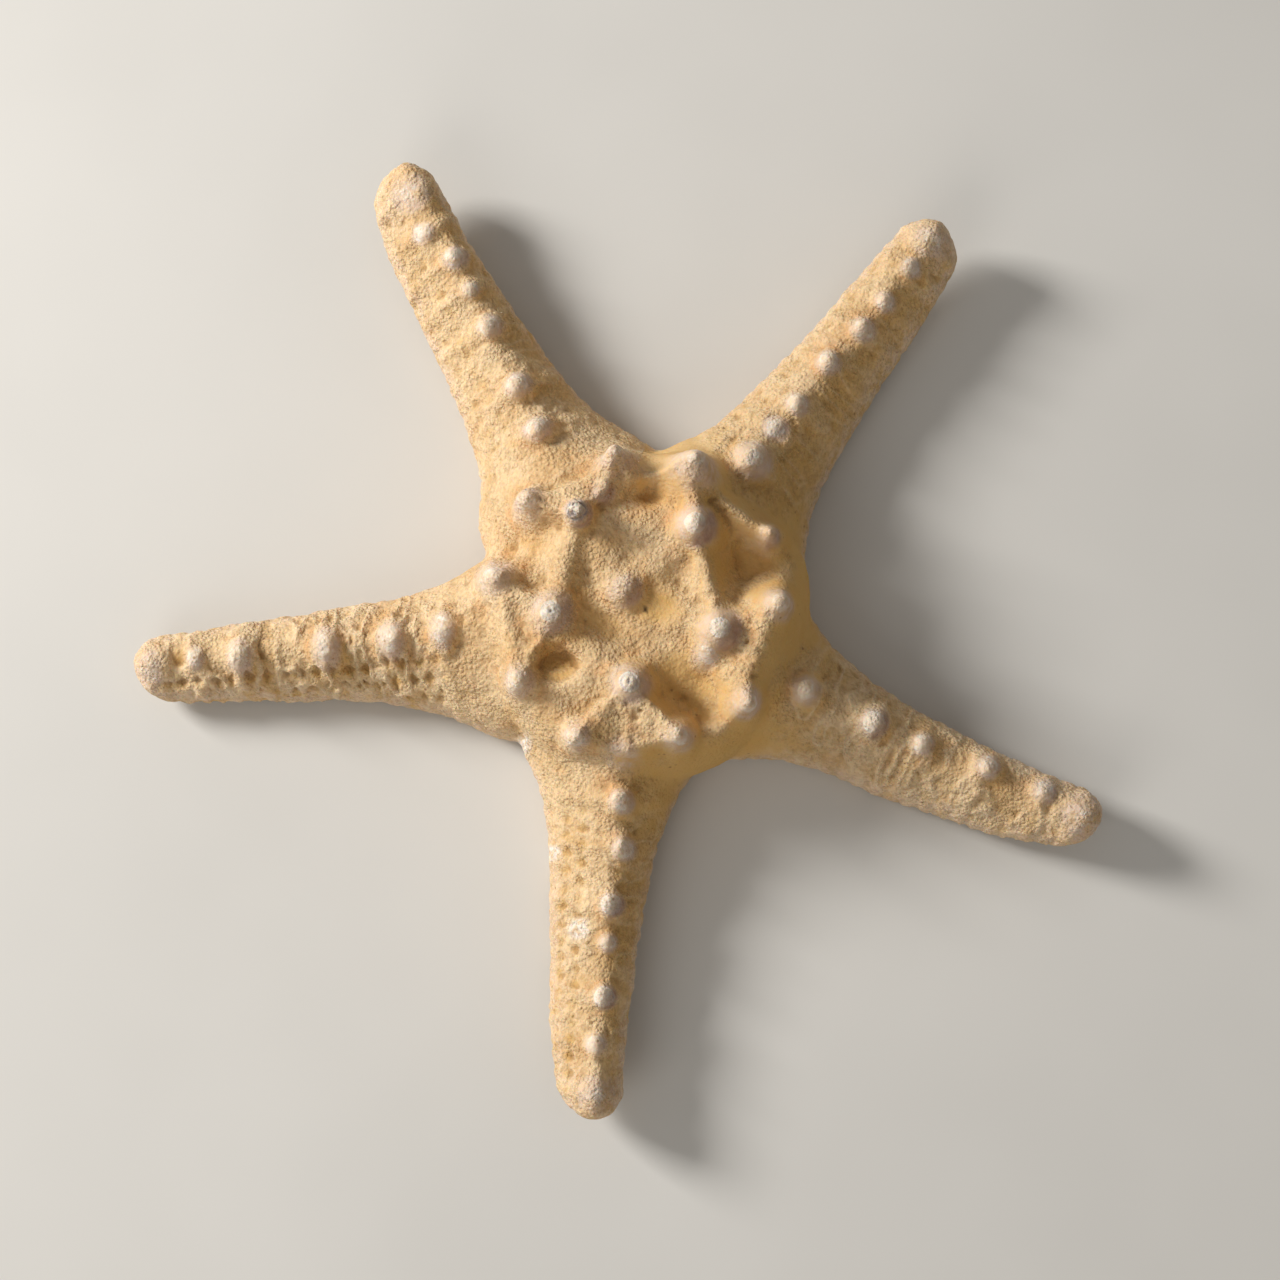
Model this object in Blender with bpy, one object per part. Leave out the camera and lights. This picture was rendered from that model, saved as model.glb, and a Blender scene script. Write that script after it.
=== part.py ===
"""A dried knobbly sea star, lying with its upper side up.

The animal grew as one piece, so the part is one solid: a domed disc and five arms, with a skin that
hangs over the horns and knobs, five open furrows and the mouth underneath, and flat pads that it
rests on. Everything is shaped in millimetres and turned into metres once, at the end.
"""

import math

import bpy
import bmesh
import numpy as np
from mathutils import Matrix, Vector

MM = 0.001

# Five arms. azimuth: direction in degrees. reach: disc centre to tip. girth: width against the
# common one. lift: how far the dried tip has curled up. sway: how far the flanks lie to the left of
# the row of knobs, at the root, at the middle, near the tip and at the tip.
ARMS = {
    "upper_left": {"azimuth": 115.5, "reach": 54.4, "girth": 1.02, "lift": 5.0,
             "sway": (-0.8, 1.2, 2.7, 2.0)},
    "upper_right": {"azimuth": 51.8, "reach": 53.6, "girth": 1.05, "lift": 5.0,
             "sway": (-1.5, -1.0, -1.0, -0.7)},
    "right": {"azimuth": -23.2, "reach": 53.3, "girth": 0.95, "lift": 3.0,
             "sway": (0.7, -1.8, -1.8, 0.0)},
    "lower": {"azimuth": -93.8, "reach": 51.3, "girth": 0.99, "lift": 4.0,
             "sway": (-1.0, -1.8, -1.6, 0.0)},
    "left": {"azimuth": -175.7, "reach": 51.9, "girth": 0.99, "lift": 2.5,
             "sway": (2.0, 0.7, 1.1, 0.6)},
}

LIFT_START = 22.0
LIFT_CURL = 1.6
SWAY_STATIONS = (0.0, 15.0, 31.0, 45.0)

# Half the width and the height of an arm, by the distance back from its tip.
FROM_TIP = (0.0, 4.0, 12.0, 20.0, 27.0, 33.0, 38.0, 44.0)
HALF_WIDTH = (3.2, 3.6, 4.2, 4.8, 5.5, 6.9, 9.8, 11.0)
CREST_HEIGHT = (5.0, 5.6, 6.9, 8.3, 9.6, 11.2, 12.4, 13.2)

TIP_ROUND = 3.2
TIP_ANGLES = (20.0, 40.0, 58.0, 74.0, 86.0)
ARM_STATIONS = 24

# Section of an arm from the middle of the underside to the crest: parts of the half width, and
# parts of the height.
SECTION = ((0.0, 0.0), (0.5, 0.0), (0.82, 0.03), (0.97, 0.16), (1.0, 0.33), (0.93, 0.49),
           (0.77, 0.66), (0.52, 0.83), (0.26, 0.95), (0.0, 1.0))
WIDEST_LEVEL = 0.42

# The disc: its edge between the arms (azimuth, radius) and the height of its dome and its edge.
DISC_EDGE = ((81.0, 17.9), (18.2, 19.7), (-58.6, 17.7), (-131.5, 15.8), (153.1, 13.6))
DOME_HEIGHT = 14.0
EDGE_HEIGHT = 4.0
DISC_SIDES = 60

# Rings of the disc, as parts of its radius and of its height: the dome, then the sole.
DOME_RINGS = ((0.02, 1.0), (0.25, 1.0), (0.5, 0.985), (0.7, 0.94), (0.84, 0.83), (0.93, 0.66),
              (0.985, 0.42), (1.0, 0.2), (0.985, 0.0))
SOLE_RINGS = ((0.95, 0.16), (0.88, 0.0), (0.5, 0.0), (0.02, 0.0))

# Horns of the disc: radius, azimuth, height of the top, half width at half height, bluntness, how
# far the top leans outwards.
HORNS = {
    "middle": (2.3, 86.0, 16.2, 1.5, 3.0, 0.0),
    "upper_left_inner": (10.6, 114.0, 17.6, 1.6, 4.5, 0.0),
    "upper_left_spur": (12.6, 99.0, 16.4, 1.3, 2.2, 0.1),
    "upper_left_low": (14.6, 131.0, 16.4, 1.6, 3.0, 0.2),
    "upper_left_high": (16.2, 91.5, 18.0, 2.0, 2.3, 0.45),
    "upper_right_inner": (10.6, 50.0, 18.2, 1.6, 3.2, 0.1),
    "upper_right_high": (16.4, 63.0, 19.2, 2.2, 2.8, 0.4),
    "upper_right_low": (16.9, 28.0, 16.8, 1.5, 3.0, 0.3),
    "right_inner": (9.5, -12.0, 17.6, 1.7, 3.0, 0.1),
    "right_lobe": (9.6, -31.0, 15.8, 1.2, 2.6, 0.0),
    "right_high": (15.5, 2.0, 17.2, 1.6, 3.0, 0.2),
    "right_low": (15.3, -38.0, 17.2, 1.5, 2.6, 0.3),
    "lower_inner": (7.5, -83.0, 17.6, 1.7, 3.0, 0.1),
    "lower_left_foot": (13.9, -108.5, 16.6, 1.4, 3.0, 0.2),
    "lower_right_foot": (14.1, -67.0, 16.8, 1.5, 3.0, 0.2),
    "left_inner": (7.1, -178.0, 17.1, 1.8, 2.8, 0.1),
    "left_high": (13.7, 163.5, 16.2, 1.9, 2.6, 0.0),
    "left_low": (12.8, -146.0, 16.8, 1.6, 2.6, 0.2),
}

# Knobs along each arm: distance from the disc centre, distance to the left of the row, rise above
# the crest and base radius.
ARM_KNOBS = {
    "upper_left": ((21.5, -0.3, 2.2, 2.4), (26.8, -0.5, 2.1, 2.3), (33.9, -0.5, 1.9, 2.2),
                   (38.4, -0.4, 1.0, 1.5), (42.2, -0.4, 1.8, 2.1), (45.9, 0.6, 1.0, 1.8),
                   (50.0, 1.2, 0.9, 4.0)),
    "upper_right": ((21.4, -0.3, 2.6, 2.9), (25.2, -0.1, 1.4, 2.0), (28.6, -0.3, 1.9, 2.1),
                    (34.1, -0.1, 2.0, 2.2), (39.1, -0.8, 1.7, 2.1), (42.8, -0.8, 1.4, 1.8),
                    (46.6, -0.7, 1.2, 1.8), (50.2, -0.7, 1.3, 3.2)),
    "right": ((20.2, 0.2, 2.1, 2.4), (27.7, 0.0, 2.3, 2.6), (33.2, 0.0, 1.7, 2.0),
              (40.2, 0.6, 1.8, 2.2), (45.6, 0.7, 1.4, 2.0), (50.0, 0.4, 1.7, 3.6)),
    "lower": ((19.0, 1.0, 2.0, 2.3), (23.7, 1.5, 1.9, 2.2), (29.4, 0.6, 2.0, 2.2),
              (33.3, 0.5, 1.2, 1.7), (38.8, 0.5, 1.8, 2.1), (43.6, -0.1, 1.2, 1.9),
              (47.2, 0.4, 1.4, 3.2)),
    "left": ((18.7, 0.0, 1.8, 2.2), (24.2, 0.4, 2.1, 2.3), (31.6, 0.7, 2.2, 2.4),
             (40.4, 0.7, 2.2, 2.5), (44.6, 0.4, 1.4, 1.9), (49.6, 0.9, 0.9, 3.0)),
}
KNOB_WIDTH = 0.62
KNOB_BLUNTNESS = 2.8
HORN_FOOT = 2.0
FOOT_REACH = 0.8

# The dried skin hangs over the horns like cloth over tent poles: one rough tent over the three
# horns at the root of each arm, thin crests between them, and hollows where nothing holds it up.
TENTS = (
    ("upper_left_low", "upper_left_high", "upper_left_spur", "upper_left_inner"),
    ("upper_right_inner", "upper_right_high", "upper_right_low"),
    ("right_inner", "right_high", "right_low"),
    ("lower_inner", "lower_right_foot", "lower_left_foot"),
    ("left_inner", "left_high", "left_low"),
)
# Each crest: from, to, and how high it hangs against its horns.
CRESTS = (
    ("upper_right_inner", "middle", 0.35),
    ("upper_left_inner", "middle", 0.22),
    ("left_inner", "upper_left_inner", 0.42),
    ("upper_right_inner", "right_inner", 0.62),
    ("left_low", "left_inner", 0.45),
    ("left_inner", "lower_inner", 0.40),
    ("middle", "right_inner", 0.45),
    ("lower_inner", "right_lobe", 0.30),
    ("upper_left_high", "upper_right_high", 0.62),
    ("upper_right_low", "right_high", 0.40),
)
TENT_HANG = 0.62
TENT_SAG = 0.3
TENT_EDGE = 1.1
CREST_SPREAD = 1.25
CREST_DIP = 1.3
FALL_OFF = 2.4

# Each hollow: x, y, half length, half width, turn in degrees, depth.
HOLLOWS = (
    (-6.6, -4.7, 3.0, 2.2, 20.0, 2.0),
    (-3.0, 0.0, 3.8, 3.2, 20.0, 1.4),
    (4.0, 1.2, 3.2, 2.4, -10.0, 1.4),
    (2.8, 12.2, 2.8, 1.6, -5.0, 2.0),
    (0.6, 8.6, 3.6, 3.4, 0.0, 1.2),
    (11.4, 5.4, 3.8, 4.4, 20.0, 2.0),
    (6.2, -6.8, 5.0, 3.8, -30.0, 1.8),
    (-9.8, 7.6, 3.4, 2.4, 60.0, 1.0),
    (-46.8, -4.3, 2.2, 1.6, 90.0, 1.1),
)
# Between its poles the skin also hangs a little everywhere.
HANG_DEPTH = 1.1
HANG_START = 0.9
HANG_FULL = 3.6
HANG_RADIUS = (13.0, 16.0)
DRAPE_POWER = 4.0

# Cross ribs run down both flanks from every knob of an arm.
RIB_RISE = 0.6
RIB_SPREAD = 0.75
RIB_BEND = 0.12
RIB_SIDES = (0.9, 2.6)

# The underside: a furrow along each arm between two lips, and the mouth with its five jaws.
FURROW_HALF_WIDTH = 1.9
FURROW_DEPTH = 3.0
FURROW_END = 3.5
LIP_DROP = 0.35
LIP_PLACE = 0.7
LIP_SPREAD = 0.6
MOUTH_RADIUS = 4.6
MOUTH_DEPTH = 4.4
JAW_REACH = 2.4

# The loft starts a little under the surface it will lie on, and is cut flat there.
SOLE_LEVEL = -0.6
SNAP = 0.01
WELD = 0.03
SHARP_EDGE = 50.0
VOXEL = 0.5
FINE_VOXEL = 0.45
FILLET_ROUNDS = 4
FACE_GOAL = 9700

# Middle of the footprint, measured from the disc centre: the part's own origin lies there.
FOOTPRINT_MIDDLE = (-1.30, -1.12)

SAND = (0.62, 0.43, 0.26, 1.0)


def smoothstep(low, high, value):
    """Rise softly from 0 at low to 1 at high."""
    part = np.clip((value - low) / (high - low), 0.0, 1.0)
    return part * part * (3.0 - 2.0 * part)


def lift_of(arm, along):
    """Height of the underside of an arm, by the distance from the disc centre."""
    part = np.clip((along - LIFT_START) / (arm["reach"] - LIFT_START), 0.0, 1.0)
    return arm["lift"] * part ** LIFT_CURL


def sway_of(arm, along):
    """Distance of the middle of an arm to the left of its row of knobs."""
    return np.interp(along, (*SWAY_STATIONS, arm["reach"]), (0.0, *arm["sway"]))


def arm_ring(arm, along, shrink):
    """One closed section of an arm, across its direction."""
    back = arm["reach"] - along
    half = float(np.interp(back, FROM_TIP, HALF_WIDTH)) * arm["girth"] * shrink
    height = float(np.interp(back, FROM_TIP, CREST_HEIGHT))
    sway = float(sway_of(arm, along))
    low = float(lift_of(arm, along)) + SOLE_LEVEL
    middle = low + WIDEST_LEVEL * height
    points = []
    for side, rows in ((1.0, SECTION), (-1.0, SECTION[-2:0:-1])):
        for part, level in rows:
            across = sway * (1.0 - level) + side * part * half
            rise = low + level * height
            points.append((across, middle + (rise - middle) * shrink))
    return points


def add_arm(shape, arm):
    """Loft an arm from the disc centre to its rounded tip."""
    turn = math.radians(arm["azimuth"])
    forward = Vector((math.cos(turn), math.sin(turn), 0.0))
    left = Vector((-math.sin(turn), math.cos(turn), 0.0))
    stations = list(np.linspace(1.0, arm["reach"] - TIP_ROUND, ARM_STATIONS))
    shrinks = [1.0] * len(stations)
    for angle in TIP_ANGLES:
        stations.append(arm["reach"] - TIP_ROUND * (1.0 - math.sin(math.radians(angle))))
        shrinks.append(math.cos(math.radians(angle)))
    rings = []
    for along, shrink in zip(stations, shrinks):
        ring = []
        for across, rise in arm_ring(arm, along, shrink):
            ring.append(shape.verts.new(forward * along + left * across + Vector((0.0, 0.0, rise))))
        rings.append(ring)
    for first, second in zip(rings, rings[1:]):
        for index, corner in enumerate(first):
            after = (index + 1) % len(first)
            shape.faces.new((corner, second[index], second[after], first[after]))
    shape.faces.new(rings[0])
    shape.faces.new(reversed(rings[-1]))


def disc_radius(azimuth):
    """Radius of the disc's edge, smooth through the five bays between the arms."""
    rows = sorted(DISC_EDGE)
    angles = [row[0] for row in rows]
    radii = [row[1] for row in rows]
    angles = [angles[-1] - 360.0] + angles + [angles[0] + 360.0]
    radii = [radii[-1]] + radii + [radii[0]]
    return float(np.interp(azimuth, angles, radii))


def add_disc(shape):
    """The dome: rings from the middle of the top, over the edge, to the middle of the sole."""
    rows = [(part, EDGE_HEIGHT + level * (DOME_HEIGHT - EDGE_HEIGHT)) for part, level in DOME_RINGS]
    rows += [(part, SOLE_LEVEL + level * EDGE_HEIGHT) for part, level in SOLE_RINGS]
    rings = []
    for part, rise in rows:
        ring = []
        for step in range(DISC_SIDES):
            azimuth = -180.0 + 360.0 * step / DISC_SIDES
            radius = part * disc_radius(azimuth)
            turn = math.radians(azimuth)
            ring.append(shape.verts.new((radius * math.cos(turn), radius * math.sin(turn), rise)))
        rings.append(ring)
    for first, second in zip(rings, rings[1:]):
        for index, corner in enumerate(first):
            after = (index + 1) % DISC_SIDES
            shape.faces.new((corner, second[index], second[after], first[after]))
    shape.faces.new(rings[0])
    shape.faces.new(reversed(rings[-1]))


def arm_point(arm, along, aside):
    """A place in the plan, given along and to the left of an arm's row of knobs."""
    turn = math.radians(arm["azimuth"])
    return np.array((math.cos(turn) * along - math.sin(turn) * aside,
                     math.sin(turn) * along + math.cos(turn) * aside))


def bake_modifier(star, kind, **settings):
    """Add one modifier, keep its result as the mesh and drop it."""
    modifier = star.modifiers.new(kind.title(), kind)
    for name, value in settings.items():
        setattr(modifier, name, value)
    graph = bpy.context.evaluated_depsgraph_get()
    shaped = bpy.data.meshes.new_from_object(star.evaluated_get(graph))
    star.modifiers.clear()
    old = star.data
    star.data = shaped
    bpy.data.meshes.remove(old)


def points_of(mesh):
    """Vertex places and normals as arrays."""
    places = np.empty(len(mesh.vertices) * 3)
    mesh.vertices.foreach_get("co", places)
    normals = np.empty(len(mesh.vertices) * 3)
    mesh.vertices.foreach_get("normal", normals)
    return places.reshape(-1, 3), normals.reshape(-1, 3)


def put_points(mesh, places):
    """Write vertex places back."""
    mesh.vertices.foreach_set("co", places.ravel())
    mesh.update()


def arm_places(places):
    """For every vertex: its arm, the distance along it and the distance to the left of its row."""
    alongs = []
    asides = []
    for arm in ARMS.values():
        turn = math.radians(arm["azimuth"])
        alongs.append(places[:, 0] * math.cos(turn) + places[:, 1] * math.sin(turn))
        asides.append(places[:, 1] * math.cos(turn) - places[:, 0] * math.sin(turn))
    alongs = np.array(alongs)
    asides = np.array(asides)
    nearest = np.argmax(alongs, axis=0)
    index = np.arange(len(places))
    return nearest, alongs[nearest, index], asides[nearest, index]


def distance_to_path(places, path):
    """Level distance from every vertex to a path of x, y points."""
    best = np.full(len(places), 1.0e9)
    for first, second in zip(path, path[1:]):
        start = np.array(first)
        run = np.array(second) - start
        offset = places[:, :2] - start
        part = np.clip(offset @ run / (run @ run), 0.0, 1.0)
        best = np.minimum(best, np.linalg.norm(offset - part[:, None] * run, axis=1))
    return best


def ground_at(places, normals, foot):
    """Height of the upper skin at a place in the plan."""
    near = np.linalg.norm(places[:, :2] - foot, axis=1) < FOOT_REACH
    return float(places[near & (normals[:, 2] > 0.0), 2].mean())


def find_poles(mesh):
    """Every horn and knob: foot, lean, rise over the skin, width, bluntness and top."""
    places, normals = points_of(mesh)
    poles = {}
    for name, (radius, azimuth, top, width, bluntness, lean) in HORNS.items():
        turn = math.radians(azimuth)
        outward = np.array((math.cos(turn), math.sin(turn)))
        foot = outward * (radius - HORN_FOOT * lean)
        rise = top - ground_at(places, normals, foot)
        poles[name] = (foot, outward * lean, rise, width, bluntness, top)
    for name, knobs in ARM_KNOBS.items():
        for number, (along, aside, rise, base_radius) in enumerate(knobs):
            foot = arm_point(ARMS[name], along, aside)
            top = rise + ground_at(places, normals, foot)
            width = KNOB_WIDTH * base_radius
            poles[f"{name}_{number}"] = (foot, np.zeros(2), rise, width, KNOB_BLUNTNESS, top)
    return poles


def pole_share(places, pole):
    """1 on top of a horn or knob, a half at its half width, 0 far away."""
    foot, lean, rise, width, bluntness, top = pole
    above = np.clip(places[:, 2] - top + rise, 0.0, rise)
    away = np.linalg.norm(places[:, :2] - foot - above[:, None] * lean, axis=1)
    return 1.0 / (1.0 + (away / width) ** bluntness)


def crest_rise(places, poles, first, second, hang):
    """Rise of a hanging crest between two horns."""
    start = poles[first][0]
    run = poles[second][0] - start
    offset = places[:, :2] - start
    part = np.clip(offset @ run / (run @ run), 0.0, 1.0)
    away = np.linalg.norm(offset - part[:, None] * run, axis=1)
    rise = poles[first][2] + part * (poles[second][2] - poles[first][2])
    dip = 1.0 - CREST_DIP * part * (1.0 - part)
    return rise * hang * dip / (1.0 + (away / CREST_SPREAD) ** FALL_OFF)


def tent_away(places, poles, corners):
    """Level distance to a tent's outline: outside it, and inside it."""
    outline = [tuple(poles[name][0]) for name in corners]
    away = distance_to_path(places, outline + outline[:1])
    inside = np.ones(len(places), dtype=bool)
    middle = np.mean(outline, axis=0)
    for first, second in zip(outline, outline[1:] + outline[:1]):
        run = np.array(second) - np.array(first)
        normal = np.array((-run[1], run[0]))
        side = (places[:, :2] - np.array(first)) @ normal
        inside &= side * ((middle - np.array(first)) @ normal) > 0.0
    return np.where(inside, 0.0, away), np.where(inside, away, 0.0)


def tent_rise(places, poles, corners):
    """Rise of a tent's skin: between its horns, sagging inside, steep outside."""
    weights = []
    for name in corners:
        away = np.linalg.norm(places[:, :2] - poles[name][0], axis=1)
        weights.append(1.0 / (away + 0.5) ** 2)
    rises = np.array([poles[name][2] for name in corners])
    rise = (rises @ np.array(weights)) / np.sum(weights, axis=0)
    outside, inside = tent_away(places, poles, corners)
    hung = np.maximum(TENT_HANG * rise - TENT_SAG * inside, 0.0)
    return hung / (1.0 + (outside / TENT_EDGE) ** FALL_OFF)


def hollow_depth(places):
    """How deep every vertex lies in the hollows."""
    depth = np.zeros(len(places))
    for x, y, half_length, half_width, turn, deep in HOLLOWS:
        cosine = math.cos(math.radians(turn))
        sine = math.sin(math.radians(turn))
        across = (places[:, 0] - x) * cosine + (places[:, 1] - y) * sine
        down = (places[:, 1] - y) * cosine - (places[:, 0] - x) * sine
        away = np.sqrt((across / half_length) ** 2 + (down / half_width) ** 2)
        depth = np.maximum(depth, deep * (1.0 - smoothstep(0.1, 1.35, away)))
    return depth


def hang_depth(places, poles):
    """How far the disc's skin hangs between its tents and crests."""
    carried = np.full(len(places), 99.0)
    for first, second, hang in CRESTS:
        carried = np.minimum(carried, distance_to_path(places, (poles[first][0], poles[second][0])))
    for corners in TENTS:
        carried = np.minimum(carried, tent_away(places, poles, corners)[0])
    on_disc = 1.0 - smoothstep(*HANG_RADIUS, np.hypot(places[:, 0], places[:, 1]))
    return HANG_DEPTH * smoothstep(HANG_START, HANG_FULL, carried) * on_disc


def rib_rise(places):
    """Rise of the cross ribs on both flanks of every knob of an arm."""
    nearest, along, aside = arm_places(places)
    rise = np.zeros(len(places))
    for number, knobs in enumerate(ARM_KNOBS.values()):
        mine = nearest == number
        for knob_along, knob_aside, knob_rise, base_radius in knobs:
            sideways = np.abs(aside - knob_aside)
            rib = np.exp(-((along - knob_along + RIB_BEND * sideways) / RIB_SPREAD) ** 2)
            rise += mine * rib * smoothstep(*RIB_SIDES, sideways) * RIB_RISE
    return rise


def drape_top(mesh):
    """Lift the skin onto its horns, crests and tents, sink the hollows and add the cross ribs."""
    places, normals = points_of(mesh)
    poles = find_poles(mesh)
    upper = smoothstep(0.02, 0.45, normals[:, 2])
    layers = [crest_rise(places, poles, *crest) for crest in CRESTS]
    layers += [tent_rise(places, poles, corners) for corners in TENTS]
    leans = np.zeros((len(places), 2))
    for pole in poles.values():
        foot, lean, rise, width, bluntness, top = pole
        share = pole_share(places, pole)
        layers.append(rise * share)
        leans += (rise * share ** 1.5)[:, None] * lean
    rise = np.sum(np.array(layers) ** DRAPE_POWER, axis=0) ** (1.0 / DRAPE_POWER)
    rise += rib_rise(places) - hang_depth(places, poles) - hollow_depth(places)
    places[:, 2] += rise * upper
    places[:, :2] += leans * upper[:, None]
    put_points(mesh, places)


def shape_underside(mesh):
    """Sink the mouth and the five furrows between their lips."""
    places, normals = points_of(mesh)
    under = smoothstep(0.25, 0.7, -normals[:, 2])
    nearest, along, aside = arm_places(places)
    reach = np.array([arm["reach"] for arm in ARMS.values()])[nearest]
    back = reach - along
    middle = np.zeros(len(places))
    for number, arm in enumerate(ARMS.values()):
        mine = nearest == number
        middle[mine] = sway_of(arm, along[mine])
    aside = aside - middle
    half = FURROW_HALF_WIDTH * (0.55 + 0.45 * smoothstep(3.0, 26.0, back))
    depth = FURROW_DEPTH * (0.5 + 0.5 * smoothstep(4.0, 30.0, back))
    trough = np.sqrt(np.clip(1.0 - (aside / half) ** 2, 0.0, 1.0))
    trough *= smoothstep(FURROW_END - 1.5, FURROW_END + 1.5, back)
    rise = depth * trough
    lips = np.exp(-((np.abs(aside) - half - LIP_PLACE) / LIP_SPREAD) ** 2)
    rise -= LIP_DROP * lips * smoothstep(4.0, 9.0, back)
    radius = np.hypot(places[:, 0], places[:, 1])
    spread = np.abs(aside) / np.maximum(radius, 0.1)
    jaw = smoothstep(0.25, 0.55, spread)
    mouth_edge = MOUTH_RADIUS - (MOUTH_RADIUS - JAW_REACH) * jaw
    mouth = 1.0 - smoothstep(mouth_edge - 1.0, mouth_edge + 0.6, radius)
    rise = np.maximum(rise, MOUTH_DEPTH * mouth)
    places[:, 2] += rise * under
    put_points(mesh, places)


def cut_sole(mesh):
    """Cut the underside flat at height zero and close it, which leaves the pads it rests on."""
    shape = bmesh.new()
    shape.from_mesh(mesh)
    everything = list(shape.verts) + list(shape.edges) + list(shape.faces)
    bmesh.ops.bisect_plane(shape, geom=everything, dist=SNAP, plane_co=(0.0, 0.0, 0.0),
                           plane_no=(0.0, 0.0, 1.0), clear_inner=True)
    for corner in shape.verts:
        if corner.co.z < 2.0 * SNAP:
            corner.co.z = 0.0
    rim = [edge for edge in shape.edges if edge.is_boundary]
    filled = bmesh.ops.holes_fill(shape, edges=rim, sides=0)
    bmesh.ops.triangulate(shape, faces=filled["faces"])
    bmesh.ops.remove_doubles(shape, verts=list(shape.verts), dist=WELD)
    bmesh.ops.dissolve_degenerate(shape, dist=SNAP, edges=list(shape.edges))
    bmesh.ops.triangulate(shape, faces=list(shape.faces))
    bmesh.ops.recalc_face_normals(shape, faces=list(shape.faces))
    shape.to_mesh(mesh)
    shape.free()


def sand_material():
    """Dry, sandy and dull."""
    material = bpy.data.materials.new("dried_skin")
    material.use_nodes = True
    shader = material.node_tree.nodes["Principled BSDF"]
    shader.inputs["Base Color"].default_value = SAND
    shader.inputs["Roughness"].default_value = 0.85
    shader.inputs["Metallic"].default_value = 0.0
    material.diffuse_color = SAND
    return material


def make_starfish():
    """Build the one solid."""
    shape = bmesh.new()
    for arm in ARMS.values():
        add_arm(shape, arm)
    add_disc(shape)
    bmesh.ops.recalc_face_normals(shape, faces=list(shape.faces))
    mesh = bpy.data.meshes.new("starfish")
    shape.to_mesh(mesh)
    shape.free()
    star = bpy.data.objects.new("starfish", mesh)
    bpy.context.scene.collection.objects.link(star)
    bake_modifier(star, "REMESH", mode="VOXEL", voxel_size=VOXEL)
    bake_modifier(star, "SMOOTH", factor=0.5, iterations=FILLET_ROUNDS)
    drape_top(star.data)
    shape_underside(star.data)
    bake_modifier(star, "REMESH", mode="VOXEL", voxel_size=FINE_VOXEL)
    bake_modifier(star, "SMOOTH", factor=0.5, iterations=2)
    bake_modifier(star, "DECIMATE", ratio=FACE_GOAL / (2.0 * len(star.data.polygons)))
    cut_sole(star.data)
    star.data.transform(Matrix.Translation((-FOOTPRINT_MIDDLE[0], -FOOTPRINT_MIDDLE[1], 0.0)))
    star.data.transform(Matrix.Scale(MM, 4))
    star.data.shade_smooth()
    star.data.set_sharp_from_angle(angle=math.radians(SHARP_EDGE))
    star.data.materials.clear()
    star.data.materials.append(sand_material())
    return star


def main():
    """Empty the scene and build the sea star."""
    for thing in list(bpy.data.objects):
        bpy.data.objects.remove(thing, do_unlink=True)
    make_starfish()


main()
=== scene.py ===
# %% [markdown]
# # A dried knobbly sea star
# A sea star dries into one light, gritty body: a domed disc, five arms, blunt horns, and open
# furrows underneath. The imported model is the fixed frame: it gives the place, the size and the
# coarse form. This lesson grows the same form again with a much finer skin and paints it.

# %% Open the frame
import itertools
import math
import time
from collections import namedtuple

import bpy
import bmesh
import numpy as np
from mathutils import Matrix, Vector


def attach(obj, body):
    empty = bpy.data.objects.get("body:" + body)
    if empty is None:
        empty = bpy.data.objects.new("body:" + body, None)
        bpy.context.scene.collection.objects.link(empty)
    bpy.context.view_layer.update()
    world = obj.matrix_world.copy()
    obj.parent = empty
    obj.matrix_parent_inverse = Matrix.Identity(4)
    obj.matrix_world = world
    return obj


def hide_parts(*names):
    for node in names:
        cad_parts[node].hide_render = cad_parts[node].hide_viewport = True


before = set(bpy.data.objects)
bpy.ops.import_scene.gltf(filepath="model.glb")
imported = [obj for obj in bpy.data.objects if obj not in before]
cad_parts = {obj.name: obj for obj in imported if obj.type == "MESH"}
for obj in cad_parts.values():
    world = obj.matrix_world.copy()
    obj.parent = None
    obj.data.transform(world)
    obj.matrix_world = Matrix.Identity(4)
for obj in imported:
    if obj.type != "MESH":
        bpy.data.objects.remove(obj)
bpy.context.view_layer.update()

MM = 0.001
started = time.time()

# %% [markdown]
# ## The plan of the star
# Real arms are never equal. Each one has its own direction, length and girth, has curled up by
# its own amount, and leans a little to one side. A short table of such facts is easier to correct
# than a traced outline, so the plan is kept as sizes in millimetres from the middle of the disc.

# %% Arms
# Each row: direction in degrees, reach, girth and lift of the tip, and how far the middle of the
# arm sways to the left of its knobs at three stations and at the tip.
ARM_FACTS = ("azimuth", "reach", "girth", "lift", "sway")
ARM_ROWS = {
    "upper_left": (115.5, 54.4, 1.02, 5.0, (-0.8, 1.2, 2.7, 2.0)),
    "upper_right": (51.8, 53.6, 1.05, 5.0, (-1.5, -1.0, -1.0, -0.7)),
    "right": (-23.2, 53.3, 0.95, 3.0, (0.7, -1.8, -1.8, 0.0)),
    "lower": (-93.8, 51.3, 0.99, 4.0, (-1.0, -1.8, -1.6, 0.0)),
    "left": (-175.7, 51.9, 0.99, 2.5, (2.0, 0.7, 1.1, 0.6)),
}
ARMS = {name: dict(zip(ARM_FACTS, row)) for name, row in ARM_ROWS.items()}
# Half width and height of the crest, by the distance back from the tip.
FROM_TIP = (0.0, 4.0, 12.0, 20.0, 27.0, 33.0, 38.0, 44.0)
HALF_WIDTH = (3.2, 3.6, 4.2, 4.8, 5.5, 6.9, 9.8, 11.0)
CREST_HEIGHT = (5.0, 5.6, 6.9, 8.3, 9.6, 11.2, 12.4, 13.2)
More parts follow.
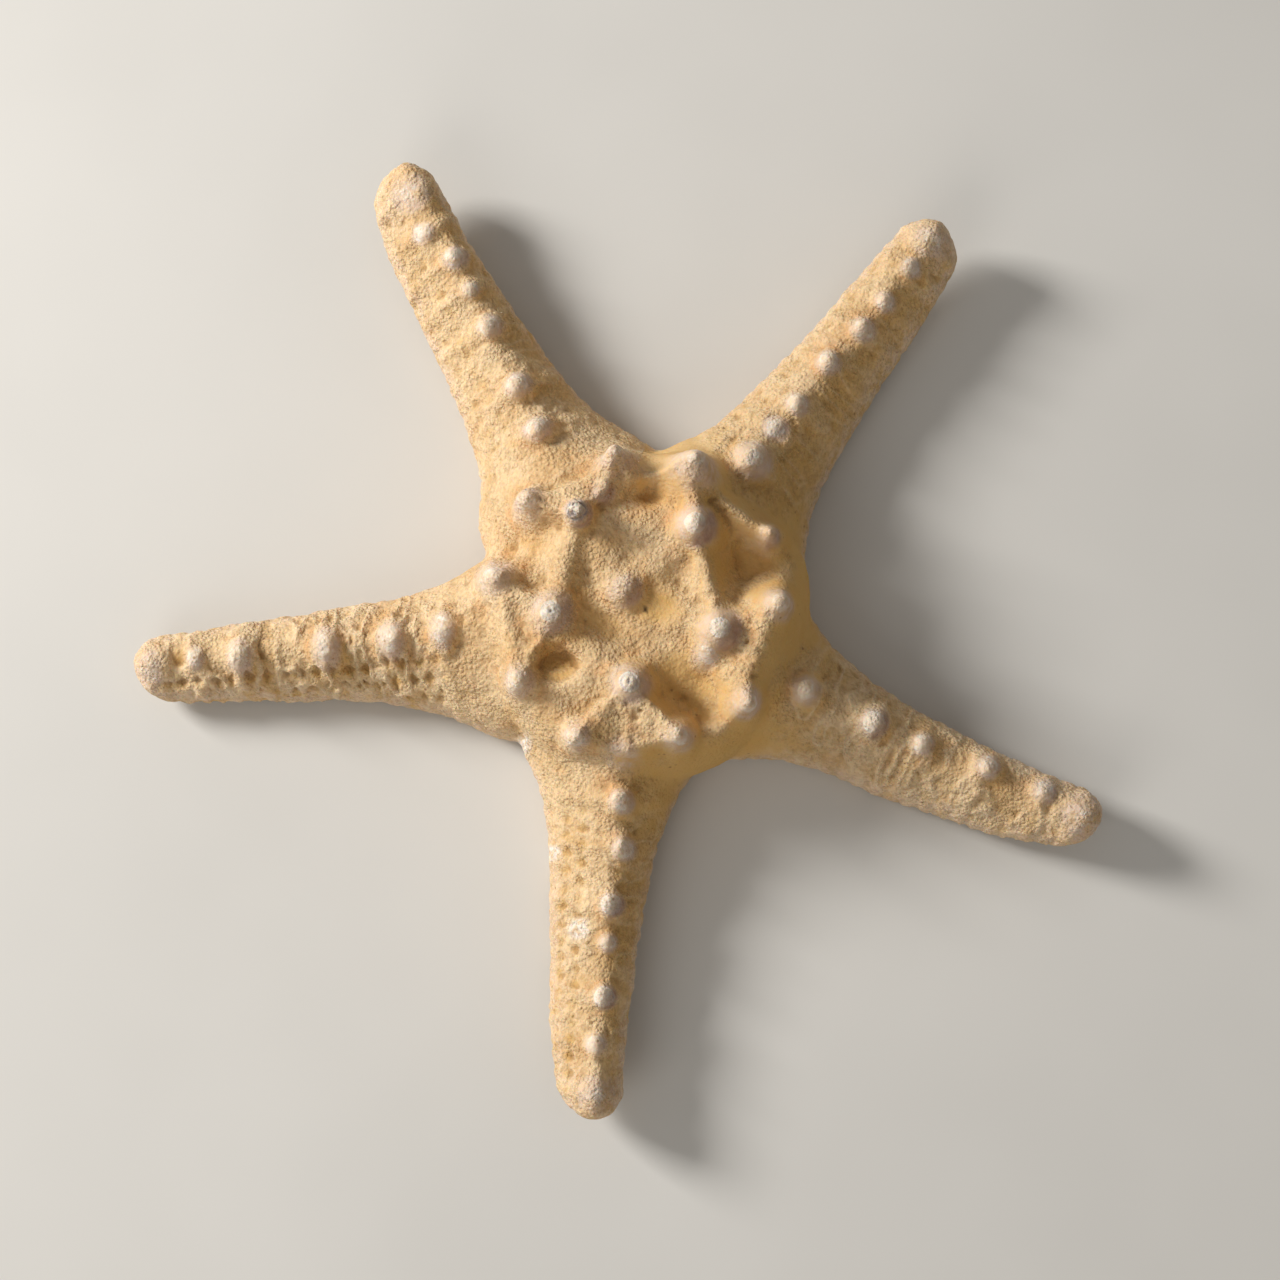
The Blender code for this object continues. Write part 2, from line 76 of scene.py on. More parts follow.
# Half a cross section, from the middle of the sole to the crest, as shares of both.
SECTION = ((0.0, 0.0), (0.5, 0.0), (0.82, 0.03), (0.97, 0.16), (1.0, 0.33), (0.93, 0.49),
           (0.77, 0.66), (0.52, 0.83), (0.26, 0.95), (0.0, 1.0))
SOLE_LEVEL = -0.6
FOOTPRINT_MIDDLE = (-1.30, -1.12)
print(len(ARMS), "arms, longest", max(arm["reach"] for arm in ARMS.values()), "mm")

# %% Disc
# Its edge in the five bays between the arms: azimuth and radius.
DISC_EDGE = ((81.0, 17.9), (18.2, 19.7), (-58.6, 17.7), (-131.5, 15.8), (153.1, 13.6))
DOME_HEIGHT = 14.0
EDGE_HEIGHT = 4.0

# %% [markdown]
# ## Horns and knobs
# The horns are the plates of the skeleton that stand up: five blunt ones round the middle, pairs at
# the roots of the arms, and a row of lower knobs down each arm. Worn tips differ, so each horn
# also says how it ends: white, ringed, broken off, or plain.

# %% Horns of the disc
# Each row: radius, azimuth, height of the top, half width at half height, bluntness, outward lean,
# and how it ends.
HORNS = {
    "middle": (2.2, 84.0, 15.9, 1.7, 3.6, 0.0, "plain"),
    "upper_left_inner": (10.8, 114.5, 18.5, 1.5, 8.0, 0.0, "broken"),
    "upper_left_spur": (12.3, 99.5, 16.2, 1.2, 2.4, 0.0, "grey"),
    "upper_left_low": (14.6, 131.0, 16.4, 1.8, 3.4, 0.2, "pale"),
    "upper_left_high": (15.0, 92.5, 18.0, 2.0, 2.2, 0.35, "pale"),
    "upper_right_inner": (11.3, 49.0, 18.1, 2.1, 3.8, 0.0, "white"),
    "upper_right_high": (15.8, 63.5, 18.8, 2.5, 2.8, 0.25, "pale"),
    "upper_right_low": (16.9, 28.0, 15.8, 1.2, 2.4, 0.1, "plain"),
    "right_inner": (10.1, -11.5, 17.3, 2.2, 3.8, 0.0, "white"),
    "right_lobe": (9.6, -28.0, 15.6, 1.3, 3.2, 0.0, "pale"),
    "right_high": (15.7, 2.0, 17.2, 1.7, 3.6, 0.15, "pale"),
    "right_low": (15.5, -37.0, 16.6, 1.7, 3.4, 0.2, "pale"),
    "lower_inner": (7.5, -84.0, 17.4, 2.1, 3.6, 0.0, "ringed"),
    "lower_left_foot": (13.5, -110.0, 16.4, 1.5, 3.6, 0.1, "pale"),
    "lower_front": (14.3, -90.0, 14.2, 1.5, 2.2, 0.0, "bare"),
    "lower_right_foot": (13.9, -66.0, 16.6, 1.6, 3.6, 0.1, "pale"),
    "left_inner": (7.2, -178.5, 17.0, 2.2, 3.4, 0.0, "ringed"),
    "left_high": (13.8, 163.5, 15.6, 2.0, 3.0, 0.0, "pale"),
    "left_low": (12.7, -146.0, 16.6, 1.7, 3.2, 0.1, "pale"),
}
print(len(HORNS), "horns on the disc")

# %% Knobs of the arms
# Each row: distance from the disc centre, distance to the left, rise above the crest, base radius.
ARM_KNOBS = {
    "upper_left": ((21.5, -0.3, 2.2, 2.4), (26.8, -0.5, 2.1, 2.3), (33.9, -0.5, 1.9, 2.2),
                   (38.4, -0.4, 1.0, 1.5), (42.2, -0.4, 1.5, 2.1), (46.2, 1.6, 0.9, 1.9),
                   (50.6, 1.0, 0.4, 3.4)),
    "upper_right": ((20.9, -0.5, 2.6, 3.3), (25.2, -0.1, 0.6, 2.4), (28.6, -0.3, 1.9, 2.1),
                    (34.1, -0.1, 2.0, 2.2), (39.1, -0.8, 1.7, 2.1), (42.8, -0.8, 1.4, 1.8),
                    (47.4, -0.7, 0.8, 1.8), (50.9, -0.7, 0.8, 3.2)),
    "right": ((20.2, 0.2, 2.1, 2.4), (27.7, 0.0, 2.3, 2.6), (33.2, 0.0, 1.7, 2.0),
              (40.2, 0.6, 1.8, 2.2), (46.5, 0.6, 1.2, 2.2), (51.2, -0.3, 1.2, 3.9)),
    "lower": ((19.0, 1.0, 2.0, 2.3), (23.7, 1.5, 1.9, 2.2), (29.4, 0.6, 2.0, 2.2),
              (33.3, 0.5, 1.2, 1.7), (38.8, 0.5, 1.8, 2.1), (43.6, -0.1, 1.2, 1.9),
              (48.7, 0.3, 0.9, 3.3)),
    "left": ((18.7, 0.0, 1.6, 2.3), (24.2, 0.4, 1.9, 2.5), (31.1, 0.6, 2.0, 2.6),
             (40.2, 0.6, 1.8, 2.3), (45.0, 0.3, 0.8, 1.6), (50.0, 0.9, 0.45, 2.6)),
}
# How much wider a knob is across its arm than along it, and the knobs that are worn white.
KNOB_OVAL = {"upper_left": 1.15, "upper_right": 1.1, "right": 1.1, "lower": 1.0, "left": 1.45}
WHITE_KNOBS = ("right_1", "lower_2", "lower_4")
print(sum(len(row) for row in ARM_KNOBS.values()), "knobs on the arms")

# %% [markdown]
# ## Tents, crests and hollows
# As the animal dried, its skin sank between the skeleton's plates and now hangs over the horns
# like cloth over tent poles. Most arms have a rough tent over three or four horns at their root,
# thin crests tie the tents together, and smooth hollows lie between. All are short lists of
# places, because they are few, and they are what tells this star from another.

# %% Tents and crests of the disc
# Each tent: its horns in order round it, how high its skin hangs against them, and how gritty it is.
TENTS = (
    (("upper_left_low", "upper_left_high", "upper_left_spur", "upper_left_inner"), 0.80, 1.0),
    (("lower_inner", "lower_right_foot", "lower_front", "lower_left_foot"), 0.86, 1.0),
    (("left_inner", "left_high", "left_low"), 0.50, 0.7),
    (("right_inner", "right_high", "right_low", "right_lobe"), 0.52, 0.0),
)
# Each crest: from, to, how high it hangs against its horns, half width and grit.
CRESTS = (
    ("upper_right_inner", "middle", 0.42, 1.6, 0.5),
    ("upper_left_inner", "middle", 0.36, 1.7, 0.5),
    ("left_inner", "upper_left_inner", 0.50, 1.5, 0.5),
    ("upper_right_inner", "right_inner", 0.64, 1.3, 0.8),
    ("left_low", "left_inner", 0.44, 1.2, 0.5),
    ("left_high", "left_low", 0.62, 1.4, 0.7),
    ("left_inner", "lower_inner", 0.50, 1.4, 0.4),
    ("middle", "right_inner", 0.52, 1.6, 0.5),
    ("lower_inner", "right_lobe", 0.36, 1.5, 0.2),
    ("right_inner", "right_lobe", 0.66, 1.4, 0.5),
    ("upper_right_inner", "upper_right_high", 0.84, 1.9, 0.9),
    ("upper_right_high", "upper_right_low", 0.70, 1.1, 1.0),
    ("upper_left_high", "upper_right_high", 0.42, 1.0, 0.0),
    ("upper_left_inner", "upper_right_inner", 0.36, 2.4, 0.0),
    ("left_low", "lower_inner", 0.52, 2.0, 0.3),
    ("left_low", "lower_left_foot", 0.40, 2.2, 0.3),
    ("right_inner", "right_high", 0.55, 1.6, 0.0),
    ("right_high", "right_low", 0.90, 2.2, 1.0),
)
TENT_SAG = 0.17
TENT_EDGE = 0.85
CREST_DIP = 1.0

# %% Hollows of the disc
# Each row: x, y, half length, half width, turn in degrees, depth, and where its floor ends.
HOLLOWS = (
    (-6.5, -5.6, 2.5, 1.9, 10.0, 0.95, 0.72),
    (-2.6, -1.4, 3.4, 3.0, -20.0, 0.6, 0.1),
    (3.4, 0.6, 3.0, 2.0, -12.0, 0.9, 0.2),
    (3.0, 11.8, 2.1, 1.4, 0.0, 0.9, 0.1),
    (13.2, 5.2, 3.8, 4.6, 20.0, 1.9, 0.1),
    (7.2, -7.6, 4.4, 3.2, -40.0, 1.3, 0.45),
    (-9.8, 7.6, 3.4, 2.4, 60.0, 0.5, 0.1),
    (-46.6, -4.3, 2.0, 1.5, 90.0, 0.8, 0.1),
)
PINHOLE = (2.3, 0.3, 0.3)
# Thin ledges and folds of the skin: rise, half width and the points that they run through.
FOLDS = (
    (0.9, 0.42, ((1.0, 12.9), (2.2, 13.4), (3.4, 13.6), (4.9, 13.6))),
    (0.5, 0.30, ((-9.2, -3.9), (-8.1, -3.2), (-6.6, -3.1), (-5.2, -3.7))),
    (0.4, 0.28, ((-1.4, 15.4), (-3.4, 16.0), (-5.6, 15.2), (-7.9, 13.2), (-9.9, 12.2))),
    (0.35, 0.28, ((0.6, -10.2), (0.7, -12.4), (0.5, -14.6))),
    (0.35, 0.25, ((-14.8, 1.2), (-17.4, 0.4), (-20.4, 0.7), (-22.2, -0.6))),
    (0.30, 0.25, ((-15.6, -0.6), (-18.4, -1.4), (-21.4, -1.0), (-24.0, -2.4))),
)
# A hollow with a wide flat floor has a steep rim, and the others fade out softly.
FLAT_FLOOR = 0.6
STEEP_RIM = 1.05
SOFT_RIM = 1.3
# Between its poles the skin also hangs a little everywhere.
HANG_DEPTH = 0.7
HANG_START = 0.9
HANG_FULL = 4.0
print(len(TENTS), "tents,", len(CRESTS), "crests and", len(HOLLOWS), "hollows")

# %% [markdown]
# ## Small helpers
# Grit, wrinkles and pores follow rules, not lists. Soft noise gives slow unevenness. Nearest
# cells give grains and pits, as frogspawn or foam would. Both are worked out with arrays, so a
# hundred thousand points take a second, and a fixed hash makes them the same on every run.

# %% Soft steps and hashes
def smoothstep(low, high, value):
    """Rise softly from 0 at low to 1 at high."""
    part = np.clip((value - low) / (high - low), 0.0, 1.0)
    return part * part * (3.0 - 2.0 * part)


def lattice_hash(cells, seed):
    """A number from 0 to 1 for every cell of a lattice."""
    mixed = cells[..., 0] * 73856093 ^ cells[..., 1] * 19349663 ^ cells[..., 2] * 83492791
    mixed = (mixed + seed * 97911) * 668265263
    mixed = (mixed ^ (mixed >> 15)) * 374761393
    mixed = mixed ^ (mixed >> 13)
    return (mixed & 0xFFFFFF) / 0x1000000


# %% Soft noise
def soft_noise(places, size, seed=0):
    """Smooth unevenness from -1 to 1, with lumps of the given size."""
    spots = places / size
    base = np.floor(spots).astype(np.int64)
    part = spots - base
    part = part * part * (3.0 - 2.0 * part)
    total = np.zeros(len(places))
    for corner in itertools.product((0, 1), repeat=3):
        weight = np.prod(np.where(corner, part, 1.0 - part), axis=1)
        total += weight * lattice_hash(base + np.array(corner), seed)
    return 2.0 * total - 1.0


def layered_noise(places, size, layers, seed=0):
    """Soft noise with finer and fainter layers on top."""
    total = np.zeros(len(places))
    for layer in range(layers):
        total += soft_noise(places, size / 2.1 ** layer, seed + layer) / 2.0 ** layer
    return total


# %% Cells
def nearest_cells(places, size, seed=0):
    """Distance to the nearest and the second nearest cell middle, in cells, and the cell's number."""
    spots = places / size
    base = np.floor(spots).astype(np.int64)
    first = np.full(len(places), 9.0)
    second = np.full(len(places), 9.0)
    name = np.zeros(len(places))
    for step in itertools.product((-1, 0, 1), repeat=3):
        cell = base + np.array(step)
        jitter = np.stack([lattice_hash(cell, seed + axis) for axis in range(3)], axis=1)
        away = np.linalg.norm(spots - cell - jitter, axis=1)
        closer = away < first
        second = np.where(closer, first, np.minimum(second, away))
        name = np.where(closer, lattice_hash(cell, seed + 7), name)
        first = np.where(closer, away, first)
    return first, second, name


# %% [markdown]
# ## The rough body
# A natural body is easiest to start from overlapping closed shapes: a lofted shell for each arm
# and a turned dome for the disc. They only need to overlap well, because a voxel remesh then melts
# them into one skin with an even mesh.

# %% Where an arm is
LIFT_START = 22.0
LIFT_CURL = 1.6
SWAY_STATIONS = (0.0, 15.0, 31.0, 45.0)


def lift_of(arm, along):
    """Height of the underside of an arm, by the distance from the disc centre."""
    part = np.clip((along - LIFT_START) / (arm["reach"] - LIFT_START), 0.0, 1.0)
    return arm["lift"] * part ** LIFT_CURL


def sway_of(arm, along):
    """Distance of the middle of an arm to the left of its row of knobs."""
    return np.interp(along, (*SWAY_STATIONS, arm["reach"]), (0.0, *arm["sway"]))


def arm_point(arm, along, aside, rise):
    """A point given along and to the left of an arm's row of knobs."""
    turn = math.radians(arm["azimuth"])
    return Vector((math.cos(turn) * along - math.sin(turn) * aside,
                   math.sin(turn) * along + math.cos(turn) * aside, rise))


# %% Join rings to a shell
def skin_rings(shape, rings):
    """Faces between closed rings, with both ends capped."""
    for first, second in zip(rings, rings[1:]):
        for index, corner in enumerate(first):
            after = (index + 1) % len(first)
            shape.faces.new((corner, second[index], second[after], first[after]))
    shape.faces.new(reversed(rings[-1]))
    shape.faces.new(rings[0])


# %% Arm shells
ARM_STATIONS = 24
ARM_ROOT = 0.02
# The rounded tip: its length, the angles of its rings, the level that it closes on, and how
# slowly its height shrinks against its width.
TIP_ROUND = 3.2
TIP_ANGLES = (20.0, 40.0, 58.0, 74.0, 86.0)
TIP_LEVEL = 0.42
TIP_FULLNESS = 0.45


def arm_ring(arm, along, shrink):
    """One closed section of an arm, across its direction."""
    back = arm["reach"] - along
    half = float(np.interp(back, FROM_TIP, HALF_WIDTH)) * arm["girth"] * shrink
    height = float(np.interp(back, FROM_TIP, CREST_HEIGHT))
    sway = float(sway_of(arm, along))
    low = float(lift_of(arm, along)) + SOLE_LEVEL
    middle = low + TIP_LEVEL * height
    points = []
    for side, rows in ((1.0, SECTION), (-1.0, SECTION[-2:0:-1])):
        for part, level in rows:
            across = sway * (1.0 - level) + side * part * half
            rise = low + level * height
            rise = middle + (rise - middle) * shrink ** TIP_FULLNESS
            points.append(arm_point(arm, along, across, rise))
    return points


def add_arm(shape, arm):
    """Loft an arm from the disc centre to its rounded tip."""
    reach = arm["reach"]
    stations = [(along, 1.0) for along in np.linspace(ARM_ROOT * reach, reach - TIP_ROUND, ARM_STATIONS)]
    for angle in TIP_ANGLES:
        turn = math.radians(angle)
        stations.append((reach - TIP_ROUND * (1.0 - math.sin(turn)), math.cos(turn)))
    rings = []
    for along, shrink in stations:
        rings.append([shape.verts.new(point) for point in arm_ring(arm, along, shrink)])
    skin_rings(shape, rings)


# %% Dome of the disc
# Rings from the middle of the top to the edge, as shares of the radius and of the dome's height,
# and rings of the sole, as shares of the radius and heights over the sole.
DOME_RINGS = ((0.02, 1.0), (0.25, 1.0), (0.5, 0.985), (0.7, 0.94), (0.84, 0.83), (0.93, 0.66),
              (0.985, 0.42), (1.0, 0.2), (0.985, 0.0))
SOLE_RINGS = ((0.95, 0.64), (0.88, 0.0), (0.5, 0.0), (0.02, 0.0))
DISC_STEP = 6


def disc_radius(azimuth):
    """Radius of the disc's edge, from bay to bay between the arms."""
    angles, radii = zip(*sorted(DISC_EDGE))
    angles = (angles[-1] - 360.0, *angles, angles[0] + 360.0)
    radii = (radii[-1], *radii, radii[0])
    return float(np.interp(azimuth, angles, radii))


def add_disc(shape):
    """Rings from the middle of the top, over the edge, to the middle of the sole."""
    rows = [(part, EDGE_HEIGHT + level * (DOME_HEIGHT - EDGE_HEIGHT)) for part, level in DOME_RINGS]
    rows += [(part, SOLE_LEVEL + rise) for part, rise in SOLE_RINGS]
    rings = []
    for part, rise in rows:
        ring = []
        for azimuth in range(-180, 180, DISC_STEP):
            radius = part * disc_radius(azimuth)
            turn = math.radians(azimuth)
            ring.append(shape.verts.new((radius * math.cos(turn), radius * math.sin(turn), rise)))
        rings.append(ring)
    skin_rings(shape, rings)


# %% Melt them together
ROUGH_VOXEL = 0.42
SMOOTH_FACTOR = 0.5
FILLET_ROUNDS = 5


def add_thing(name, data):
    """A new object in the scene."""
    thing = bpy.data.objects.new(name, data)
    bpy.context.scene.collection.objects.link(thing)
    return thing


def bake_modifier(thing, kind, **settings):
    """Add one modifier, keep its result as the mesh and drop it."""
    modifier = thing.modifiers.new(kind.title(), kind)
    for name, value in settings.items():
        setattr(modifier, name, value)
    graph = bpy.context.evaluated_depsgraph_get()
    shaped = bpy.data.meshes.new_from_object(thing.evaluated_get(graph))
    thing.modifiers.clear()
    old = thing.data
    thing.data = shaped
    bpy.data.meshes.remove(old)


shape = bmesh.new()
for arm in ARMS.values():
    add_arm(shape, arm)
add_disc(shape)
bmesh.ops.recalc_face_normals(shape, faces=list(shape.faces))
mesh = bpy.data.meshes.new("sea_star_skin")
shape.to_mesh(mesh)
shape.free()
skin = add_thing("sea_star_skin", mesh)
bake_modifier(skin, "REMESH", mode="VOXEL", voxel_size=ROUGH_VOXEL)
bake_modifier(skin, "SMOOTH", factor=SMOOTH_FACTOR, iterations=FILLET_ROUNDS)
print("melted skin:", len(skin.data.vertices), "points after", round(time.time() - started, 1), "s")

# %% [markdown]
# ## Shaping the skin
# From here the mesh is treated like clay: every point moves a little along its normal or straight
# up. Large forms come first and grains last, so that each step sees the surface that it sits on.

# %% Reading and moving points
def points_of(thing):
    """Vertex places and normals as arrays."""
    count = len(thing.data.vertices)
    places = np.empty(count * 3)
    thing.data.vertices.foreach_get("co", places)
    normals = np.empty(count * 3)
    thing.data.vertices.foreach_get("normal", normals)
    return places.reshape(-1, 3), normals.reshape(-1, 3)


def put_points(thing, places):
    """Write vertex places back."""
    thing.data.vertices.foreach_set("co", places.ravel())
    thing.data.update()


# %% Places along the arms
def arm_places(places):
    """For every point: its arm, the distance along it, to the left of its row, and back from its tip."""
    alongs = []
    asides = []
    for arm in ARMS.values():
        turn = math.radians(arm["azimuth"])
        alongs.append(places[:, 0] * math.cos(turn) + places[:, 1] * math.sin(turn))
        asides.append(places[:, 1] * math.cos(turn) - places[:, 0] * math.sin(turn))
    nearest = np.argmax(alongs, axis=0)
    index = np.arange(len(places))
    along = np.array(alongs)[nearest, index]
    reach = np.array([arm["reach"] for arm in ARMS.values()])[nearest]
    return nearest, along, np.array(asides)[nearest, index], reach - along


def by_arm(nearest, along, fact):
    """A fact of every point's own arm, such as its lift."""
    values = np.zeros(len(along))
    for number, arm in enumerate(ARMS.values()):
        mine = nearest == number
        values[mine] = fact(arm, along[mine])
    return values


# %% Distances in the plan
def away_from(places, x, y):
    """Level distance from every point to a place."""
    return np.hypot(places[:, 0] - x, places[:, 1] - y)


def beside_line(places, start, end):
    """For every point: which part of a line it stands beside, and its level distance to it."""
    run = np.array(end) - np.array(start)
    offset = places[:, :2] - np.array(start)
    part = np.clip(offset @ run / (run @ run), 0.0, 1.0)
    return part, np.linalg.norm(offset - part[:, None] * run, axis=1)


def distance_to_path(places, path):
    """Level distance from every point to a path of x, y points."""
    best = np.full(len(places), 1.0e9)
    for start, end in zip(path, path[1:]):
        best = np.minimum(best, beside_line(places, start, end)[1])
    return best


def hollow_depth(places):
    """How deep every point lies in the hollows, in mm."""
    depth = np.zeros(len(places))
    for x, y, half_length, half_width, turn, deep, floor in HOLLOWS:
        cosine = math.cos(math.radians(turn))
        sine = math.sin(math.radians(turn))
        across = (places[:, 0] - x) * cosine + (places[:, 1] - y) * sine
        down = (places[:, 1] - y) * cosine - (places[:, 0] - x) * sine
        away = np.sqrt((across / half_length) ** 2 + (down / half_width) ** 2)
        rim = SOFT_RIM if floor < FLAT_FLOOR else STEEP_RIM
        depth = np.maximum(depth, deep * (1.0 - smoothstep(floor, rim, away)))
    return depth


# %% Poles of the tents
Pole = namedtuple("Pole", "foot lean rise width bluntness top ending squeeze")
KNOB_WIDTH = 0.58
KNOB_BLUNTNESS = 4.2
GROUND_RADIUS = 0.8
# How far inwards the foot of a leaning horn stands, in mm for a full lean.
FOOT_SHIFT = 2.0


def ground_at(places, normals, foot):
    """Height of the upper skin at a place in the plan."""
    near = np.linalg.norm(places[:, :2] - foot, axis=1) < GROUND_RADIUS
    return float(places[near & (normals[:, 2] > 0.0), 2].mean())


def horn_pole(places, normals, row):
    """A horn of the disc, as a pole under the skin."""
    radius, azimuth, top, width, bluntness, lean, ending = row
    turn = math.radians(azimuth)
    outward = np.array((math.cos(turn), math.sin(turn)))
    foot = outward * (radius - FOOT_SHIFT * lean)
    rise = top - ground_at(places, normals, foot)
    return Pole(foot, outward * lean, rise, width, bluntness, top, ending, np.eye(2))


def knob_pole(places, normals, name, number):
    """A knob of an arm, as a pole under the skin."""
    along, aside, rise, base_radius = ARM_KNOBS[name][number]
    across = np.array(arm_point(ARMS[name], 0.0, 1.0, 0.0))[:2]
    squeeze = np.eye(2) - (1.0 - 1.0 / KNOB_OVAL[name]) * np.outer(across, across)
    foot = np.array(arm_point(ARMS[name], along, aside, 0.0))[:2]
    top = rise + ground_at(places, normals, foot)
    ending = "white" if f"{name}_{number}" in WHITE_KNOBS else "knob"
    if number == len(ARM_KNOBS[name]) - 1:
        ending = "end"
    return Pole(foot, np.zeros(2), rise, KNOB_WIDTH * base_radius, KNOB_BLUNTNESS, top, ending, squeeze)


places, normals = points_of(skin)
poles = {name: horn_pole(places, normals, row) for name, row in HORNS.items()}
for name, knobs in ARM_KNOBS.items():
    for number in range(len(knobs)):
        poles[f"{name}_{number}"] = knob_pole(places, normals, name, number)
print("rise of the horns, mm:", {name: round(poles[name].rise, 1) for name in HORNS})


# %% Heights of poles and crests
CREST_STEEPNESS = 2.4


def pole_away(places, pole):
    """Level distance from the axis of a horn or knob, counted in its half widths."""
    above = np.clip(places[:, 2] - pole.top + pole.rise, 0.0, pole.rise)
    offset = places[:, :2] - pole.foot - above[:, None] * pole.lean
    return np.linalg.norm(offset @ pole.squeeze, axis=1) / pole.width


def pole_share(away, bluntness):
    """1 on top of a horn or knob, a half at its half width, 0 far away."""
    return 1.0 / (1.0 + away ** bluntness)


def crest_rise(places, first, second, hang, half_width):
    """Rise of a hanging crest between two horns."""
    part, away = beside_line(places, poles[first].foot, poles[second].foot)
    rise = poles[first].rise + part * (poles[second].rise - poles[first].rise)
    dip = 1.0 - CREST_DIP * part * (1.0 - part)
    return rise * hang * dip / (1.0 + (away / half_width) ** CREST_STEEPNESS)


# %% Heights of the tents
TENT_STEEPNESS = 2.8
TENT_BLEND = 0.5


def tent_away(places, corners):
    """Level distance to a tent's outline: outside it, and inside it."""
    outline = [poles[name].foot for name in corners]
    away = distance_to_path(places, outline + outline[:1])
    inside = np.ones(len(places), dtype=bool)
    middle = np.mean(outline, axis=0)
    for first, second in zip(outline, outline[1:] + outline[:1]):
        run = second - first
        normal = np.array((-run[1], run[0]))
        inside &= ((places[:, :2] - first) @ normal) * ((middle - first) @ normal) > 0.0
    return np.where(inside, 0.0, away), np.where(inside, away, 0.0)


def tent_rise(places, corners, hang):
    """Rise of a tent's skin: between its horns, sagging inside, steep outside."""
    weights = []
    for name in corners:
        away = np.linalg.norm(places[:, :2] - poles[name].foot, axis=1)
        weights.append(1.0 / (away + TENT_BLEND) ** 2)
    rises = np.array([poles[name].rise for name in corners])
    rise = (rises @ np.array(weights)) / np.sum(weights, axis=0)
    outside, inside = tent_away(places, corners)
    hung = np.maximum(hang * rise - TENT_SAG * inside, 0.0)
    return hung / (1.0 + (outside / TENT_EDGE) ** TENT_STEEPNESS)


# %% Folds and ribs
RIB_RISE = 0.45
RIB_SPREAD = 0.8
RIB_BEND = 0.05


def fold_rises(places):
    """The rise of each thin ledge or fold, one by one."""
    for height, half_width, path in FOLDS:
        yield height / (1.0 + (distance_to_path(places, path) / half_width) ** CREST_STEEPNESS)


def rib_rises(places):
    """The rise of the low rib that runs across the arm from each knob, one by one."""
    nearest, along, aside, back = arm_places(places)
    for number, knobs in enumerate(ARM_KNOBS.values()):
        mine = nearest == number
        for knob_along, knob_aside, knob_rise, base_radius in knobs:
            bend = RIB_BEND * np.abs(aside - knob_aside)
            rib = np.exp(-((along - knob_along + bend) / RIB_SPREAD) ** 2)
            flank = smoothstep(0.9, 2.6, np.abs(aside - knob_aside))
            yield mine * rib * flank * RIB_RISE


# %% Drape the skin
DRAPE_POWER = 4.0
# A shallow groove runs round the foot of every blunt horn and knob.
GROOVED_BLUNTNESS = 3.3
GROOVE_AT = 1.62
GROOVE_SPREAD = 0.22
GROOVE_DEPTH = 0.16


def hang_of(places):
    """How far the skin of the disc hangs between its crests and tents."""
    carried = np.full(len(places), 99.0)
    for first, second, hang, half_width, grit in CRESTS:
        carried = np.minimum(carried, distance_to_path(places, (poles[first].foot, poles[second].foot)))
    for corners, hang, grit in TENTS:
        carried = np.minimum(carried, tent_away(places, corners)[0])
    on_disc = 1.0 - smoothstep(13.0, 16.0, away_from(places, 0.0, 0.0))
    return HANG_DEPTH * smoothstep(HANG_START, HANG_FULL, carried) * on_disc


def drape_top(thing):
    """Lift the skin onto its poles, crests and tents, sink the hollows and add folds and ribs."""
    places, normals = points_of(thing)
    upper = smoothstep(0.02, 0.45, normals[:, 2])
    layers = [crest_rise(places, *crest[:4]) for crest in CRESTS]
    layers += [tent_rise(places, *tent[:2]) for tent in TENTS]
    leans = np.zeros((len(places), 2))
    groove = np.zeros(len(places))
    for pole in poles.values():
        away = pole_away(places, pole)
        share = pole_share(away, pole.bluntness)
        layers.append(pole.rise * share)
        leans += (pole.rise * share ** 1.5)[:, None] * pole.lean
        if pole.bluntness > GROOVED_BLUNTNESS:
            groove = np.maximum(groove, np.exp(-((away - GROOVE_AT) / GROOVE_SPREAD) ** 2))
    rise = np.sum(np.array(layers) ** DRAPE_POWER, axis=0) ** (1.0 / DRAPE_POWER)
    rise -= hang_of(places)
    rise -= hollow_depth(places) + GROOVE_DEPTH * groove
    for layer in itertools.chain(fold_rises(places), rib_rises(places)):
        rise += layer
    places[:, 2] += rise * upper
    places[:, :2] += leans * upper[:, None]
    put_points(thing, places)


drape_top(skin)
print("highest point", round(float(points_of(skin)[0][:, 2].max()), 1), "mm")

# %% [markdown]
# ## The underside
# A sea star walks on rows of tube feet that sit in an open furrow under every arm. The furrows
# meet at the mouth, where five jaws point inwards. The photograph shows only the top, so this side
# follows the kind's usual build. Its plates stop at the level of the table.

# %% Furrows, mouth and sole
FURROW_HALF_WIDTH = 1.9
FURROW_DEPTH = 3.0
FURROW_PLATE_PITCH = 1.1
FURROW_PLATE_RISE = 0.28
LIP_DROP = 0.35
MOUTH_RADIUS = 4.6
MOUTH_DEPTH = 4.4
JAW_REACH = 2.4


def furrow_places(places):
    """Distance from the middle of the furrow, its half width, and the distances back and along."""
    nearest, along, aside, back = arm_places(places)
    half = FURROW_HALF_WIDTH * (0.55 + 0.45 * smoothstep(3.0, 26.0, back))
    return aside - by_arm(nearest, along, sway_of), half, back, along


